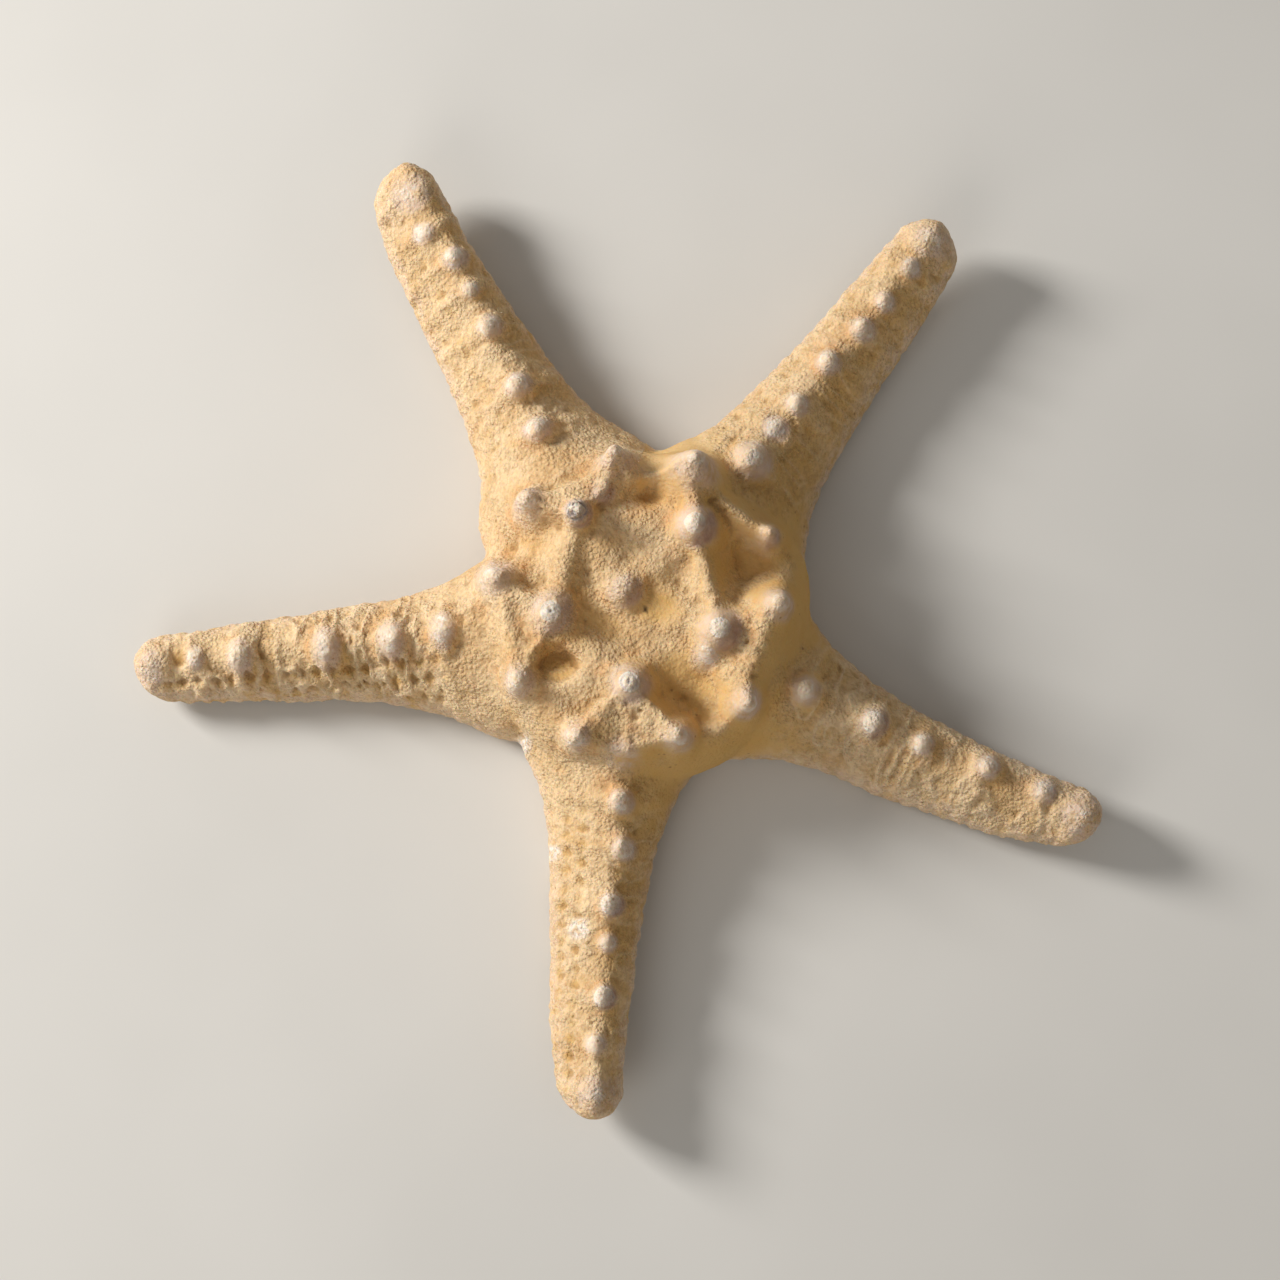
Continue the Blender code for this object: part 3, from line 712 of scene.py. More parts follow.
def shape_underside(thing):
    """Sink the mouth and the furrows, and give the sole its plates."""
    places, normals = points_of(thing)
    under = smoothstep(0.25, 0.7, -normals[:, 2])
    aside, half, back, along = furrow_places(places)
    depth = FURROW_DEPTH * (0.5 + 0.5 * smoothstep(4.0, 30.0, back))
    trough = np.sqrt(np.clip(1.0 - (aside / half) ** 2, 0.0, 1.0)) * smoothstep(2.0, 5.0, back)
    plates = np.cos(math.tau * along / FURROW_PLATE_PITCH) * smoothstep(0.25, 0.6, trough)
    rise = depth * trough + FURROW_PLATE_RISE * plates
    lips = np.exp(-((np.abs(aside) - half - 0.7) / 0.6) ** 2)
    rise -= LIP_DROP * lips * smoothstep(4.0, 9.0, back)
    radius = away_from(places, 0.0, 0.0)
    jaw = smoothstep(0.25, 0.55, np.abs(aside) / np.maximum(radius, 0.1))
    mouth_edge = MOUTH_RADIUS - (MOUTH_RADIUS - JAW_REACH) * jaw
    mouth = 1.0 - smoothstep(mouth_edge - 1.0, mouth_edge + 0.6, radius)
    rise = np.maximum(rise, MOUTH_DEPTH * mouth)
    places[:, 2] += rise * under
    put_points(thing, places)


shape_underside(skin)
print("furrows cut", FURROW_DEPTH, "mm deep, mouth", 2.0 * MOUTH_RADIUS, "mm wide")

# %% Even out the mesh
FINE_VOXEL = 0.21
FINE_ROUNDS = 6
bake_modifier(skin, "REMESH", mode="VOXEL", voxel_size=FINE_VOXEL)
bake_modifier(skin, "SMOOTH", factor=SMOOTH_FACTOR, iterations=FINE_ROUNDS)
print("fine skin:", len(skin.data.vertices), "points after", round(time.time() - started, 1), "s")

# %% [markdown]
# ## Where is what
# Before the fine work, every point learns what it belongs to: a horn and its worn tip, the rough
# crests, the hollows, the row of edge plates or the sole. Such soft masks are the natural way to
# keep grit off a polished tip, and the paint uses the same masks later, so both always agree.

# %% How horns and knobs end
CAP_RADIUS = 1.2
# Each row: how pale the tip is, how dark the lower right side gets (real purple-brown plus painted shade),
# and how rubbed.
ENDINGS = {
    "white": (0.9, 1.0, 0.6),
    "ringed": (0.9, 0.6, 0.45),
    "broken": (0.85, 0.8, 0.3),
    "pale": (0.35, 0.35, 0.35),
    "knob": (0.35, 0.4, 0.8),
    "end": (0.3, 0.2, 0.2),
    "plain": (0.0, 0.8, 0.1),
    "grey": (0.0, 0.8, 0.2),
    "bare": (0.0, 0.0, 0.0),
}
# The lower right faces away from the lamp: the purple-brown laid there is partly real and partly painted
# shade.
LEE_SHADE_TURN = math.radians(-30.0)


def lay_on(masks, name, values):
    """Keep the stronger of a mask and new values."""
    masks[name] = np.maximum(masks[name], values)


def facing(vectors, turn):
    """How far level vectors point in a direction."""
    return vectors[:, 0] * math.cos(turn) + vectors[:, 1] * math.sin(turn)


def mark_pole(masks, places, pole):
    """Mark one horn or knob: its body, tip, purple-brown lee side (partly real, partly painted shade),
    rings and the warmer skin round it.
    """
    paleness, lee_stain_and_shade, rubbed = ENDINGS[pole.ending]
    away = pole_away(places, pole)
    across = away * pole.width
    share = pole_share(away, pole.bluntness) * (np.abs(places[:, 2] - pole.top) < pole.rise + 2.0)
    lay_on(masks, "horn", smoothstep(0.2, 0.75, share))
    lay_on(masks, "polish", rubbed * smoothstep(0.3, 0.8, share))
    tip = smoothstep(0.5, 0.8, share) * (1.0 - smoothstep(0.75 * CAP_RADIUS, CAP_RADIUS, across))
    lay_on(masks, "tip", paleness * tip)
    lee = facing(places[:, :2] - pole.foot, LEE_SHADE_TURN) / pole.width
    lay_on(masks, "stain_and_lee_shade", lee_stain_and_shade * (smoothstep(0.05, 0.5, lee) * smoothstep(0.3, 0.6, share)))
    if pole.ending == "ringed":
        lay_on(masks, "ring", 0.4 * np.exp(-((across - 0.8) / 0.15) ** 2))
        lay_on(masks, "ring", 1.0 - smoothstep(0.12, 0.32, across))
    if pole.ending == "broken":
        lay_on(masks, "chipped", tip)
        lay_on(masks, "ring", 0.5 * np.exp(-((across - 1.0) / 0.18) ** 2))
    lay_on(masks, "halo", np.exp(-((share - 0.22) / 0.12) ** 2) * (share > 0.02))


# %% Masks
EDGE_PLATE_HEIGHT = 2.6
EDGE_PLATE_SPREAD = 2.0
HOLLOW_FULL = 0.75
SMOOTH_WALLS = (1, 2)
HALF_SMOOTH_WALL = 3
MASK_NAMES = ("horn", "tip", "ring", "chipped", "stain_and_lee_shade", "polish", "halo", "crest", "hollow", "shaded_wall",
              "edge", "sole", "arm_end")


def gather_masks(places, normals):
    """Soft 0 to 1 masks of the star's regions, and where every point is along its arm."""
    masks = {name: np.zeros(len(places)) for name in MASK_NAMES}
    for pole in poles.values():
        mark_pole(masks, places, pole)
    for first, second, hang, half_width, grit in CRESTS:
        away = distance_to_path(places, (poles[first].foot, poles[second].foot))
        lay_on(masks, "crest", grit * (1.0 - smoothstep(0.5 * half_width, 1.4 * half_width, away)))
    for corners, hang, grit in TENTS:
        outside, inside = tent_away(places, corners)
        lay_on(masks, "crest", grit * (1.0 - smoothstep(0.2, 1.2, outside)))
    upper = smoothstep(-0.1, 0.4, normals[:, 2])
    masks["halo"] *= upper
    masks["crest"] *= upper
    # The floors of the hollows are smooth, and their slopes keep most of the grit.
    level = 0.25 + 0.75 * smoothstep(0.72, 0.92, normals[:, 2])
    masks["hollow"] = np.clip(hollow_depth(places) / HOLLOW_FULL, 0.0, 1.0) * upper * level
    nearest, along, aside, back = arm_places(places)
    above = places[:, 2] - by_arm(nearest, along, lift_of)
    steep = 1.0 - smoothstep(0.45, 0.85, np.abs(normals[:, 2]))
    masks["edge"] = np.exp(-((above - EDGE_PLATE_HEIGHT) / EDGE_PLATE_SPREAD) ** 2) * steep
    radius = away_from(places, 0.0, 0.0)
    # The smooth walls of the bays on the side away from the lamp; their golden brown is painted shade.
    disc_wall = (1.0 - smoothstep(19.0, 24.0, radius)) * smoothstep(3.5, 6.0, above)
    smooth_side = np.isin(nearest, SMOOTH_WALLS) | ((nearest == HALF_SMOOTH_WALL) & (aside > 0.0))
    masks["shaded_wall"] = disc_wall * steep * smooth_side
    masks["sole"] = smoothstep(0.2, 0.6, -normals[:, 2])
    masks["arm_end"] = 1.0 - smoothstep(1.5, 6.0, back)
    return masks, nearest, along, aside


places, normals = points_of(skin)
masks, nearest, along, aside = gather_masks(places, normals)
print({name: round(float(mask.mean()), 3) for name, mask in masks.items()})

# %% [markdown]
# ## Grit and plates
# Under a lens the skin is a mosaic: round grains a fraction of a millimetre wide, spongy pits on
# the rough crests, small plates in rows across each arm and larger ones along its edge. A bump map
# could fake it, but the outline and the slanting light show real relief, so the points themselves
# are moved. Only the finest grain is left to the finish.

# %% Strength of each relief, by arm
# Each arm dried its own way: threads across it, and pits between its plates to the left and right.
ARM_RELIEF = {
    "upper_left": (0.45, 0.35, 0.2),
    "upper_right": (0.4, 0.35, 0.25),
    "right": (0.8, 0.25, 0.35),
    "lower": (0.5, 0.35, 0.75),
    "left": (1.2, 1.2, 0.3),
}
LUMP_SIZE = 3.4
LUMP_RELIEF = 0.14
CRUMB_SIZE = 0.72
CRUMB_RELIEF = 0.09
PIT_SIZE = 0.85
PIT_DEPTH = 0.26
THREAD_ALONG = 1.1
THREAD_ACROSS = 3.6
THREAD_RELIEF = 0.30
PLATE_PITCH = 1.8
PLATE_DEPTH = 0.3
EDGE_RELIEF = 0.13


# %% Relief of the whole skin
def roughness_of(masks):
    """1 where the skin is granular, 0 where it is smooth."""
    return 1.0 - np.clip(0.75 * masks["hollow"] + masks["shaded_wall"] + 0.8 * masks["polish"], 0.0, 1.0)


def crumb_relief(places, masks, rough):
    """Lumps, crumbs and the pits of the rough crests, in mm."""
    relief = LUMP_RELIEF * layered_noise(places, LUMP_SIZE, 3, 21)
    drift = 0.5 * CRUMB_SIZE * soft_noise(places, 1.6, 37)[:, None]
    crumbs = smoothstep(-0.25, 0.25, soft_noise(places + drift, CRUMB_SIZE, 35))
    relief += CRUMB_RELIEF * (crumbs - 0.5) * (0.3 + 0.7 * rough)
    first, second, name = nearest_cells(places + 0.3 * PIT_SIZE, PIT_SIZE, 41)
    pits = (1.0 - smoothstep(0.12, 0.5, first)) * (0.4 + 0.6 * name)
    here_and_there = smoothstep(-0.2, 0.3, soft_noise(places, 4.5, 43))
    spongy = np.maximum(masks["crest"], 0.5 * masks["halo"] * here_and_there)
    return relief - PIT_DEPTH * pits * spongy * rough


# %% Threads and pits of the arms
ROOT_START = 17.0
ROOT_END = 23.0


def on_arm(masks, along):
    """1 along an arm, fading out at its root, at its end and underneath."""
    return smoothstep(ROOT_START, ROOT_END, along) * (1.0 - 0.6 * masks["arm_end"]) * (1.0 - masks["sole"])


def threads_of(places, masks, nearest, along, aside):
    """Raised threads across the arms, from 0 to about 1."""
    thread = np.array([ARM_RELIEF[name][0] for name in ARMS])[nearest]
    across = (aside / THREAD_ACROSS, places[:, 2] / THREAD_ACROSS)
    stretched = np.stack((along / THREAD_ALONG, *across), axis=1)
    stretched += 0.35 * soft_noise(places, 2.2, 51)[:, None]
    ridged = 1.0 - np.abs(soft_noise(stretched, 1.0, 53))
    return thread * smoothstep(0.7, 1.0, ridged) * on_arm(masks, along) * (1.0 - 0.8 * masks["horn"])


def plate_pits(places, masks, nearest, along, aside):
    """Pits between the plates of the arms, in slanting rows, from 0 to about 1."""
    left_pits, right_pits = np.array([ARM_RELIEF[name][1:] for name in ARMS])[nearest].T
    drift = 0.35 * soft_noise(places, 4.0, 55)
    row = (np.abs(aside) + drift) / PLATE_PITCH
    column = (along + drift) / PLATE_PITCH + 0.5 * np.floor(row)
    corner = np.abs(row % 1.0 - 0.5) + np.abs(column % 1.0 - 0.5)
    share = np.where(aside > 0.0, left_pits, right_pits) * smoothstep(1.4, 2.6, np.abs(aside))
    return (1.0 - smoothstep(0.2, 0.55, corner)) * share * on_arm(masks, along)


# %% Relief of the arms
def arm_relief(places, masks, nearest, along, aside):
    """Threads across the arms, pits between their plates and scalloped edges, in mm."""
    inside = 1.0 - masks["edge"]
    relief = THREAD_RELIEF * (threads_of(places, masks, nearest, along, aside) - 0.3) * inside
    relief *= smoothstep(ROOT_START, ROOT_END, along)
    relief -= PLATE_DEPTH * plate_pits(places, masks, nearest, along, aside) * inside
    scallops = np.abs(np.cos(math.pi * (along + 0.1 * soft_noise(places, 4.0, 55)) / PLATE_PITCH))
    return relief + EDGE_RELIEF * (scallops - 0.65) * masks["edge"] * smoothstep(13.0, 18.0, along)


# %% Worn tips
TIP_DISH = 0.3
CHIP_SIZE = 0.8
CHIP_DEPTH = 0.32


def tip_relief(places, masks):
    """Dished rings and chips at the ends of the horns, in mm."""
    first, second, name = nearest_cells(places, CHIP_SIZE, 61)
    chips = masks["chipped"] * (0.6 - name - 0.4 * smoothstep(0.0, 0.2, 0.2 - (second - first)))
    return CHIP_DEPTH * chips - TIP_DISH * masks["ring"]


places, normals = points_of(skin)
rough = roughness_of(masks)
relief = crumb_relief(places, masks, rough) + arm_relief(places, masks, nearest, along, aside)
relief += tip_relief(places, masks)
relief *= 1.0 - 0.85 * masks["sole"]
places += normals * relief[:, None]
put_points(skin, places)
print("relief from", round(float(relief.min()), 2), "to", round(float(relief.max()), 2), "mm")

# %% [markdown]
# ## The sole
# The plates of the underside are flat where they rub on the ground, with fine grooves between.
# Nothing may hang below the table, so the plates are levelled at height zero and only the grooves
# between them rise into the body.

# %% Level the sole
SOLE_PLATE = 2.1
SOLE_GROOVE = 0.45
SOLE_GRAIN = 0.75
SOLE_GRAIN_RISE = 0.16


def level_sole(thing):
    """Press the underside level, with grooves between its plates."""
    places, normals = points_of(thing)
    under = smoothstep(0.3, 0.7, -normals[:, 2])
    first, second, name = nearest_cells(places * np.array((1.0, 1.0, 0.4)), SOLE_PLATE, 71)
    groove = 1.0 - smoothstep(0.02, 0.22, second - first)
    first, second, name = nearest_cells(places, SOLE_GRAIN, 73)
    grain = smoothstep(0.1, 0.7, first)
    places[:, 2] = np.maximum(places[:, 2], 0.0)
    places[:, 2] += under * (SOLE_GROOVE * groove + SOLE_GRAIN_RISE * grain)
    put_points(thing, places)


level_sole(skin)
print("lowest point", round(float(points_of(skin)[0][:, 2].min()), 3), "mm")

# %% [markdown]
# ## One skin, fewer faces
# An even mesh wastes faces on quiet places. Decimating by collapse keeps them where the surface
# bends. The underside, which lies on the table, may lose more of them than the top.

# %% Thin out the mesh
FACE_LIMIT = 194000
UNDERSIDE = -0.3
TOP_LOSS = 0.25
share = FACE_LIMIT / (2.0 * len(skin.data.polygons))
quiet = skin.vertex_groups.new(name="quiet")
places, normals = points_of(skin)
quiet.add(np.flatnonzero(normals[:, 2] <= UNDERSIDE).tolist(), 1.0, "REPLACE")
quiet.add(np.flatnonzero(normals[:, 2] > UNDERSIDE).tolist(), TOP_LOSS, "REPLACE")
bake_modifier(skin, "DECIMATE", ratio=min(1.0, share), vertex_group="quiet")
places, normals = points_of(skin)
places[:, 2] = np.maximum(places[:, 2], 0.0)
put_points(skin, places)
skin.data.validate()
skin.data.shade_smooth()
print("skin:", len(skin.data.polygons), "faces")

# %% [markdown]
# ## What the paint needs to know
# Colour follows form: tips are rubbed pale, skin round the horns is tinged a warmer tan, and the
# crevices and pores get painted shade while the crests get painted light. So each mask is stored
# on the mesh as a named number per point. How sunken a point is comes from comparing the surface
# with a smoothed copy of itself.

# %% Crevices
def averaged(values, pairs, counts, rounds):
    """Values averaged with their neighbours along the edges, round by round."""
    for _ in range(rounds):
        total = np.zeros_like(values)
        for column in range(values.shape[1]):
            total[:, column] = np.bincount(pairs[:, 0], values[pairs[:, 1], column], len(values))
            total[:, column] += np.bincount(pairs[:, 1], values[pairs[:, 0], column], len(values))
        values = 0.5 * values + 0.5 * total / counts[:, None]
    return values


def neighbours(thing):
    """Both ends of every edge, and how many edges meet in every point."""
    pairs = np.empty(2 * len(thing.data.edges), dtype=np.int64)
    thing.data.edges.foreach_get("vertices", pairs)
    counts = np.bincount(pairs, minlength=len(thing.data.vertices)).astype(float)
    return pairs.reshape(-1, 2), counts


def sunken(thing, rounds, depth):
    """From -1 on crests to 1 in crevices, against the surface smoothed over some rounds."""
    places, normals = points_of(thing)
    pairs, counts = neighbours(thing)
    smoothed = averaged(places, pairs, counts, rounds)
    sunk = np.sum((smoothed - places) * normals, axis=1)[:, None]
    return np.clip(averaged(sunk, pairs, counts, 1)[:, 0] / depth, -1.0, 1.0)


def keep_mask(thing, name, values):
    """Store one number per point under a name that the finish can read."""
    layer = thing.data.attributes.new(name, "FLOAT", "POINT")
    layer.data.foreach_set("value", values.astype(np.float32))


# %% Store the masks
# Round white patches: x, y and radius.
BLEACHED = ((-4.8, -31.8, 1.7), (-10.6, -12.6, 1.3), (-7.6, -23.8, 1.2))
# The sides that face this way, away from the lamp, are painted golden as shade.
SHADE_SIDE_TURN = math.radians(-25.0)
BROAD_ROUNDS = 40
places, normals = points_of(skin)
masks, nearest, along, aside = gather_masks(places, normals)
for name in MASK_NAMES:
    keep_mask(skin, name, masks[name])
keep_mask(skin, "rough", roughness_of(masks))
keep_mask(skin, "threads", np.clip(threads_of(places, masks, nearest, along, aside), 0.0, 1.0))
keep_mask(skin, "pits", np.clip(plate_pits(places, masks, nearest, along, aside), 0.0, 1.0))
patch = np.zeros(len(places))
for x, y, radius in BLEACHED:
    patch = np.maximum(patch, 1.0 - smoothstep(0.3, 1.0, away_from(places, x, y) / radius))
keep_mask(skin, "bleached", patch)
broad = averaged(normals, *neighbours(skin), BROAD_ROUNDS)
# Painted shade: golden where the broadly smoothed normal faces away from the lamp.
keep_mask(skin, "painted_shade_side", smoothstep(0.05, 0.6, facing(broad, SHADE_SIDE_TURN)))
x, y, radius = PINHOLE
keep_mask(skin, "pinhole", 1.0 - smoothstep(0.5, 1.2, away_from(places, x, y) / radius))
# How sunken each point is, for painted shade in pores and crevices and painted light on crests.
keep_mask(skin, "pore_shading", sunken(skin, 6, 0.12))
keep_mask(skin, "crevice_shade", sunken(skin, 60, 0.7))
print("masks kept:", len(skin.data.attributes))

# %% [markdown]
# ## The finish of the dried skin
# Dry sea star is chalky and dull, and lets a little light through its surface. Its sand colour is
# never even: it drifts between straw and tan, stays golden in the hollows, is warmer round the
# horns and pinkish on the edge plates. Painted shade makes the shaded walls and the sides away from
# the lamp golden, darkens the lee sides of the horns over their real stains, and darkens the pores
# and crevices, while the crests are painted lighter. One shader could take a painted picture, but
# noise and the masks give a sharper skin from any distance, in the order in which the real thing
# got its colours, with the painted shade laid in among them.

# %% Helpers for the finish
def add_node(tree, kind, inputs, **settings):
    """Add a node, set its options, and fill or link its inputs."""
    made = tree.nodes.new(kind)
    for name, value in settings.items():
        setattr(made, name, value)
    for name, value in inputs.items():
        if isinstance(value, bpy.types.NodeSocket):
            tree.links.new(value, made.inputs[name])
        else:
            made.inputs[name].default_value = value
    return made


def new_finish(name):
    """A new material, its node tree and shader, and the place on the piece."""
    material = bpy.data.materials.new(name)
    material.use_nodes = True
    tree = material.node_tree
    place = add_node(tree, "ShaderNodeTexCoord", {}).outputs["Object"]
    return material, tree, tree.nodes["Principled BSDF"], place


def tint(tree, factor, below, above):
    """One colour over another, by a factor."""
    return add_node(tree, "ShaderNodeMix", {0: factor, 6: below, 7: above}, data_type="RGBA").outputs[2]


def between(tree, value, low, high, out_low=0.0, out_high=1.0):
    """Stretch a part of a value's span to a new one, with soft ends."""
    sockets = {"Value": value, "From Min": low, "From Max": high, "To Min": out_low, "To Max": out_high}
    return add_node(tree, "ShaderNodeMapRange", sockets, interpolation_type="SMOOTHSTEP").outputs["Result"]


def times(tree, first, second):
    """Product of two values."""
    return add_node(tree, "ShaderNodeMath", {0: first, 1: second}, operation="MULTIPLY").outputs[0]


def share_on(tree, value, share, base):
    """A share of one value, on top of another."""
    sockets = {0: value, 1: share, 2: base}
    return add_node(tree, "ShaderNodeMath", sockets, operation="MULTIPLY_ADD").outputs[0]


# %% Masks and noise in the finish
def mask_of(tree, name):
    """A stored mask."""
    return add_node(tree, "ShaderNodeAttribute", {}, attribute_name=name).outputs["Fac"]


def grain_of(tree, place, size, detail=4.0, roughness=0.6):
    """Cloudy noise with lumps of a size in mm."""
    sockets = {"Vector": place, "Scale": 1.0 / (size * MM), "Detail": detail, "Roughness": roughness}
    return add_node(tree, "ShaderNodeTexNoise", sockets).outputs["Fac"]


def cells_of(tree, place, size):
    """Distance to the nearest cell middle, with cells of a size in mm."""
    sockets = {"Vector": place, "Scale": 1.0 / (size * MM)}
    return add_node(tree, "ShaderNodeTexVoronoi", sockets, feature="F1").outputs["Distance"]


# %% Colours of the skin
STRAW = (0.79, 0.585, 0.35, 1.0)
TAN = (0.68, 0.46, 0.235, 1.0)
WARM = (0.74, 0.42, 0.20, 1.0)
PALE_STRAW = (0.86, 0.69, 0.47, 1.0)
# Golden brown is the real colour of the hollows and pits, and painted shade on shaded sides and crevices.
GOLDEN_BROWN_AND_SHADE = (0.66, 0.385, 0.10, 1.0)
# This brown is the real colour of the specks, and painted shade in the pores and grooves.
SPECK_BROWN_AND_SHADE = (0.34, 0.18, 0.07, 1.0)
LILAC_WHITE = (0.76, 0.61, 0.52, 1.0)
CHALK = (0.88, 0.82, 0.74, 1.0)
SLATE = (0.26, 0.23, 0.24, 1.0)
PURPLE_BROWN = (0.36, 0.22, 0.17, 1.0)
PINHOLE_BLACK = (0.03, 0.015, 0.01, 1.0)
SHELL_PINK = (0.80, 0.60, 0.42, 1.0)
SOLE_CREAM = (0.78, 0.58, 0.36, 1.0)


# %% Glazes
# Each glaze, in order: its mask, its strength or else the lump size and the span of the noise that
# breaks it up, and its paint.
SKIN_GLAZES = (
    ("halo", (2.5, 0.45, 0.65, 0.0, 0.7), WARM),
    ("hollow", 0.6, GOLDEN_BROWN_AND_SHADE),
    # Golden brown on the smooth walls away from the lamp is painted shade.
    ("shaded_wall", 0.5, GOLDEN_BROWN_AND_SHADE),
    # Golden brown on the sides that face away from the lamp is painted shade.
    ("painted_shade_side", 0.6, GOLDEN_BROWN_AND_SHADE),
    ("pits", 0.7, GOLDEN_BROWN_AND_SHADE),
    ("threads", 0.6, PALE_STRAW),
    ("edge", (1.6, 0.3, 0.6), SHELL_PINK),
    ("sole", 0.8, SOLE_CREAM),
    ("horn", (1.2, 0.3, 0.65, 0.1, 0.7), LILAC_WHITE),
    ("polish", 0.4, LILAC_WHITE),
)
WORN_GLAZES = (
    ("bleached", (0.8, 0.35, 0.55, 0.2, 0.9), CHALK),
    # Purple-brown on the lee side of the horns and knobs: partly real pigment, partly painted shade.
    ("stain_and_lee_shade", (0.8, 0.3, 0.7, 0.95, 0.6), PURPLE_BROWN),
    ("chipped", (0.9, 0.48, 0.58), SLATE),
    ("ring", 0.7, SLATE),
)


def glaze(tree, place, colour, glazes):
    """Lay thin paints over a colour, each where its mask says so."""
    for name, strength, paint in glazes:
        if isinstance(strength, tuple):
            size, *span = strength
            strength = between(tree, grain_of(tree, place, size), *span)
        colour = tint(tree, times(tree, mask_of(tree, name), strength), colour, paint)
    return colour


# %% Colour of the skin
def skin_colour(tree, place, crumbs):
    """The sand colour, its glazes, chalky tips, painted shade in pores and grooves, and a few specks."""
    colour = tint(tree, between(tree, grain_of(tree, place, 5.0), 0.35, 0.68), STRAW, TAN)
    patches = between(tree, grain_of(tree, place, 9.0, 3.0), 0.52, 0.70)
    colour = tint(tree, times(tree, patches, 0.3), colour, WARM)
    colour = glaze(tree, place, colour, SKIN_GLAZES)
    cap = share_on(tree, grain_of(tree, place, 0.8), 0.8, mask_of(tree, "tip"))
    colour = tint(tree, between(tree, cap, 0.6, 0.9, 0.0, 0.9), colour, CHALK)
    colour = glaze(tree, place, colour, WORN_GLAZES)
    # Painted shade: golden in the crevices and brown in the pores; the crests are painted lighter.
    pore_shading = mask_of(tree, "pore_shading")
    colour = tint(tree, between(tree, mask_of(tree, "crevice_shade"), 0.1, 0.9, 0.0, 0.35), colour, GOLDEN_BROWN_AND_SHADE)
    colour = tint(tree, between(tree, pore_shading, 0.15, 0.9, 0.0, 0.6), colour, SPECK_BROWN_AND_SHADE)
    colour = tint(tree, between(tree, pore_shading, -0.15, -1.0, 0.0, 0.35), colour, STRAW)
    # Painted shade in the grooves between the crumbs of the grain.
    grooves = times(tree, mask_of(tree, "rough"), between(tree, crumbs, 0.5, 0.0, 0.0, 0.22))
    colour = tint(tree, grooves, colour, SPECK_BROWN_AND_SHADE)
    # A black dot is painted shade for a pinhole that is not cut into the mesh.
    colour = tint(tree, mask_of(tree, "pinhole"), colour, PINHOLE_BLACK)
    specks = between(tree, cells_of(tree, place, 1.3), 0.16, 0.08)
    specks = times(tree, specks, between(tree, grain_of(tree, place, 3.0), 0.5, 0.6))
    return tint(tree, times(tree, specks, 0.7), colour, SPECK_BROWN_AND_SHADE)


# %% Grain of the skin
def fine_bump(tree, place, crumbs):
    """Grain too fine for the mesh, fainter where the skin is smooth."""
    dust = grain_of(tree, place, 0.22, 3.0, 0.7)
    grains = between(tree, cells_of(tree, place, 0.42), 0.7, 0.15)
    height = share_on(tree, crumbs, 0.6, share_on(tree, dust, 0.7, grains))
    height = times(tree, height, between(tree, mask_of(tree, "rough"), 0.0, 1.0, 0.3, 1.0))
    height = times(tree, height, between(tree, grain_of(tree, place, 3.5, 2.0), 0.4, 0.6, 0.55, 1.0))
    sockets = {"Strength": 1.0, "Distance": BUMP_DEPTH, "Height": height}
    return add_node(tree, "ShaderNodeBump", sockets).outputs["Normal"]


# %% Mix the skin
BUMP_DEPTH = 0.12 * MM
SKIN_SHADER = {"Specular IOR Level": 0.3, "Subsurface Weight": 0.22,
               "Subsurface Radius": (1.0, 0.45, 0.16), "Subsurface Scale": 0.6 * MM}


def dried_skin_finish():
    """Chalky sand colour that follows the masks."""
    material, tree, shader, place = new_finish("dried_skin_finish")
    for name, value in SKIN_SHADER.items():
        shader.inputs[name].default_value = value
    crumbs = between(tree, grain_of(tree, place, 0.5, 2.0, 0.5), 0.42, 0.58)
    tree.links.new(skin_colour(tree, place, crumbs), shader.inputs["Base Color"])
    tree.links.new(between(tree, mask_of(tree, "tip"), 0.0, 1.0, 0.9, 0.6), shader.inputs["Roughness"])
    tree.links.new(fine_bump(tree, place, crumbs), shader.inputs["Normal"])
    return material


skin.data.materials.clear()
skin.data.materials.append(dried_skin_finish())
print("finish nodes:", len(skin.data.materials[0].node_tree.nodes))

# %% [markdown]
# ## Into the shared frame
# Everything so far was in millimetres from the middle of the disc. The frame is in metres, with
# its origin under the middle of the footprint. Moving the mesh itself, not the object, keeps the
# piece at the origin like every other one.

# %% Place the skin
to_frame = Matrix.Scale(MM, 4) @ Matrix.Translation((-FOOTPRINT_MIDDLE[0], -FOOTPRINT_MIDDLE[1], 0.0))
skin.data.transform(to_frame)
skin.data.update()
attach(skin, "root")
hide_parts("starfish")
print("skin placed:", [round(value / MM, 1) for value in skin.dimensions])

# %% [markdown]
# ## A pale table
# The table only has to catch the shadow and stay out of the way. One large plane with a faintly
# uneven, warm white finish does that.

# %% Table
TABLE_HALF = 1.5
TABLE_GREY = (0.70, 0.69, 0.67, 1.0)
TABLE_WHITE = (0.74, 0.73, 0.71, 1.0)


def table_finish():
    """Matt, faintly clouded white."""
    material, tree, shader, place = new_finish("table_white")
    clouds = between(tree, grain_of(tree, place, 60.0, 3.0), 0.3, 0.7)
    colour = tint(tree, clouds, TABLE_GREY, TABLE_WHITE)
    tree.links.new(colour, shader.inputs["Base Color"])
    shader.inputs["Roughness"].default_value = 0.8
    return material


corners = [(x * TABLE_HALF, y * TABLE_HALF, 0.0) for x, y in ((-1, -1), (1, -1), (1, 1), (-1, 1))]
mesh = bpy.data.meshes.new("table")
mesh.from_pydata(corners, [], [(0, 1, 2, 3)])
table = add_thing("table", mesh)
table.data.materials.append(table_finish())
print("table", 2.0 * TABLE_HALF, "m wide")

# %% [markdown]
# ## Light
# Low light from one side brings out relief. A broad lamp at the upper left does it softly, as a
# window would. A weaker and wider one at the lower left throws a little warm light back, as a
# reflector would, and a dim even sky keeps the shadows open.

# %% Lamps
LAMP_DISTANCE = 0.55
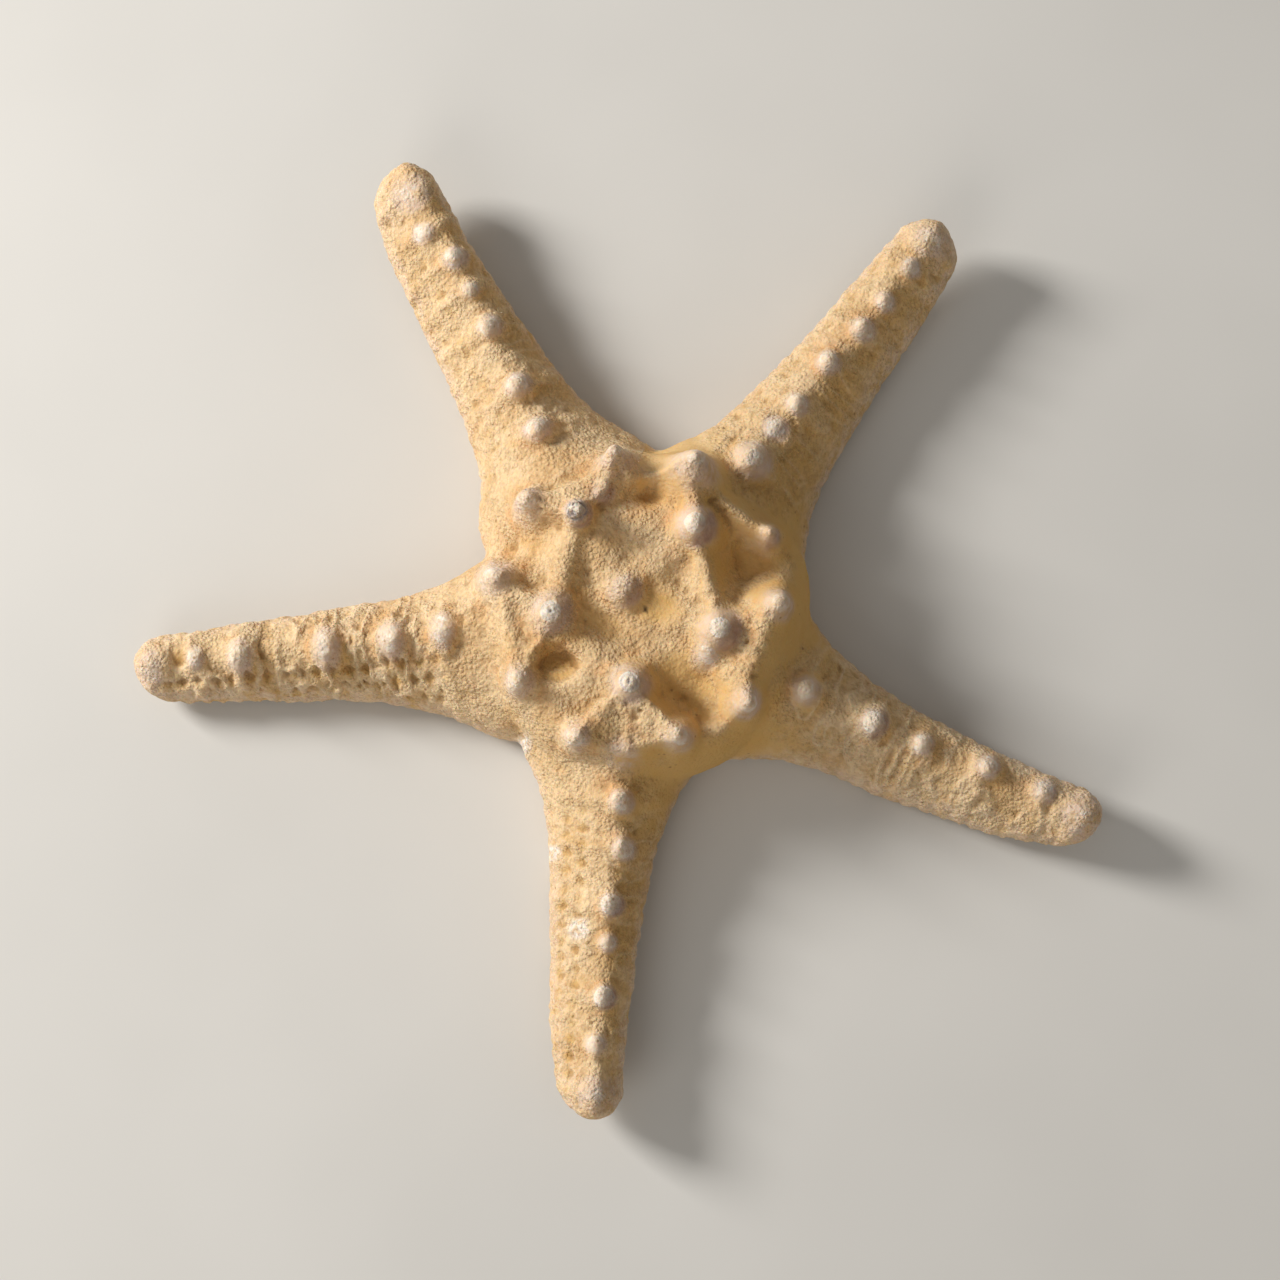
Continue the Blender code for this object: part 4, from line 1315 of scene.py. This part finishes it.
# Each lamp: azimuth and elevation in degrees, width in metres, power in watts, and colour.
LAMPS = {
    "reflector": (235.0, 38.0, 0.3, 0.55, (1.0, 0.95, 0.87)),
    "window_light": (155.0, 31.0, 0.16, 3.15, (1.0, 0.97, 0.92)),
}
SKY_COLOUR = (1.0, 0.96, 0.90, 1.0)
SKY_STRENGTH = 0.24


def add_lamp(name, azimuth, elevation, width, power, colour):
    """A square lamp that faces the star."""
    turn = math.radians(azimuth)
    tilt = math.radians(elevation)
    away = Vector((math.cos(turn) * math.cos(tilt), math.sin(turn) * math.cos(tilt), math.sin(tilt)))
    lamp = add_thing(name, bpy.data.lights.new(name, "AREA"))
    lamp.data.shape = "SQUARE"
    lamp.data.size = width
    lamp.data.energy = power
    lamp.data.color = colour
    lamp.location = away * LAMP_DISTANCE
    lamp.rotation_euler = away.to_track_quat("Z", "Y").to_euler()


for name, row in LAMPS.items():
    add_lamp(name, *row)
world = bpy.data.worlds.new("soft_sky")
world.use_nodes = True
sky = world.node_tree.nodes["Background"]
sky.inputs["Color"].default_value = SKY_COLOUR
sky.inputs["Strength"].default_value = SKY_STRENGTH
bpy.context.scene.world = world
bpy.context.scene.view_settings.view_transform = "Standard"
print(len(LAMPS), "lamps,", LAMP_DISTANCE, "m away")

# %% [markdown]
# ## Camera
# The photograph was taken from above, by hand, so it leans a few degrees. A camera near the thing
# sees its tall parts spread outwards, so the distance of the lens matters as much as its angle.

# %% Camera
CAMERA_LEAN_BACK = 7.0
CAMERA_LEAN_RIGHT = 2.0
CAMERA_DISTANCE = 0.330
PIXEL = 0.105 * MM
FRAME_PIXELS = 1280
CENTRE_PIXEL = (627.0, 626.0)
CENTRE_HEIGHT = 3.0 * MM
SENSOR_WIDTH = 36.0

lean_back = math.radians(CAMERA_LEAN_BACK)
lean_right = math.radians(CAMERA_LEAN_RIGHT)
towards = Vector((math.sin(lean_right), -math.sin(lean_back) * math.cos(lean_right),
                  math.cos(lean_back) * math.cos(lean_right))).normalized()
right = (-towards).cross(Vector((0.0, 1.0, 0.0))).normalized()
up = right.cross(-towards).normalized()
centre = Vector((-FOOTPRINT_MIDDLE[0] * MM, -FOOTPRINT_MIDDLE[1] * MM, CENTRE_HEIGHT))
offset_right = (FRAME_PIXELS / 2.0 - CENTRE_PIXEL[0]) * PIXEL
offset_down = (FRAME_PIXELS / 2.0 - CENTRE_PIXEL[1]) * PIXEL
target = centre + right * offset_right - up * offset_down
camera = add_thing("camera", bpy.data.cameras.new("camera"))
camera.data.sensor_width = SENSOR_WIDTH
camera.data.lens = SENSOR_WIDTH * CAMERA_DISTANCE / (FRAME_PIXELS * PIXEL)
camera.location = target + towards * CAMERA_DISTANCE
camera.rotation_euler = Matrix((right, up, towards)).transposed().to_euler()
bpy.context.scene.camera = camera
print("lens", round(camera.data.lens, 1), "mm")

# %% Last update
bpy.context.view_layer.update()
print("made in", round(time.time() - started, 1), "s")
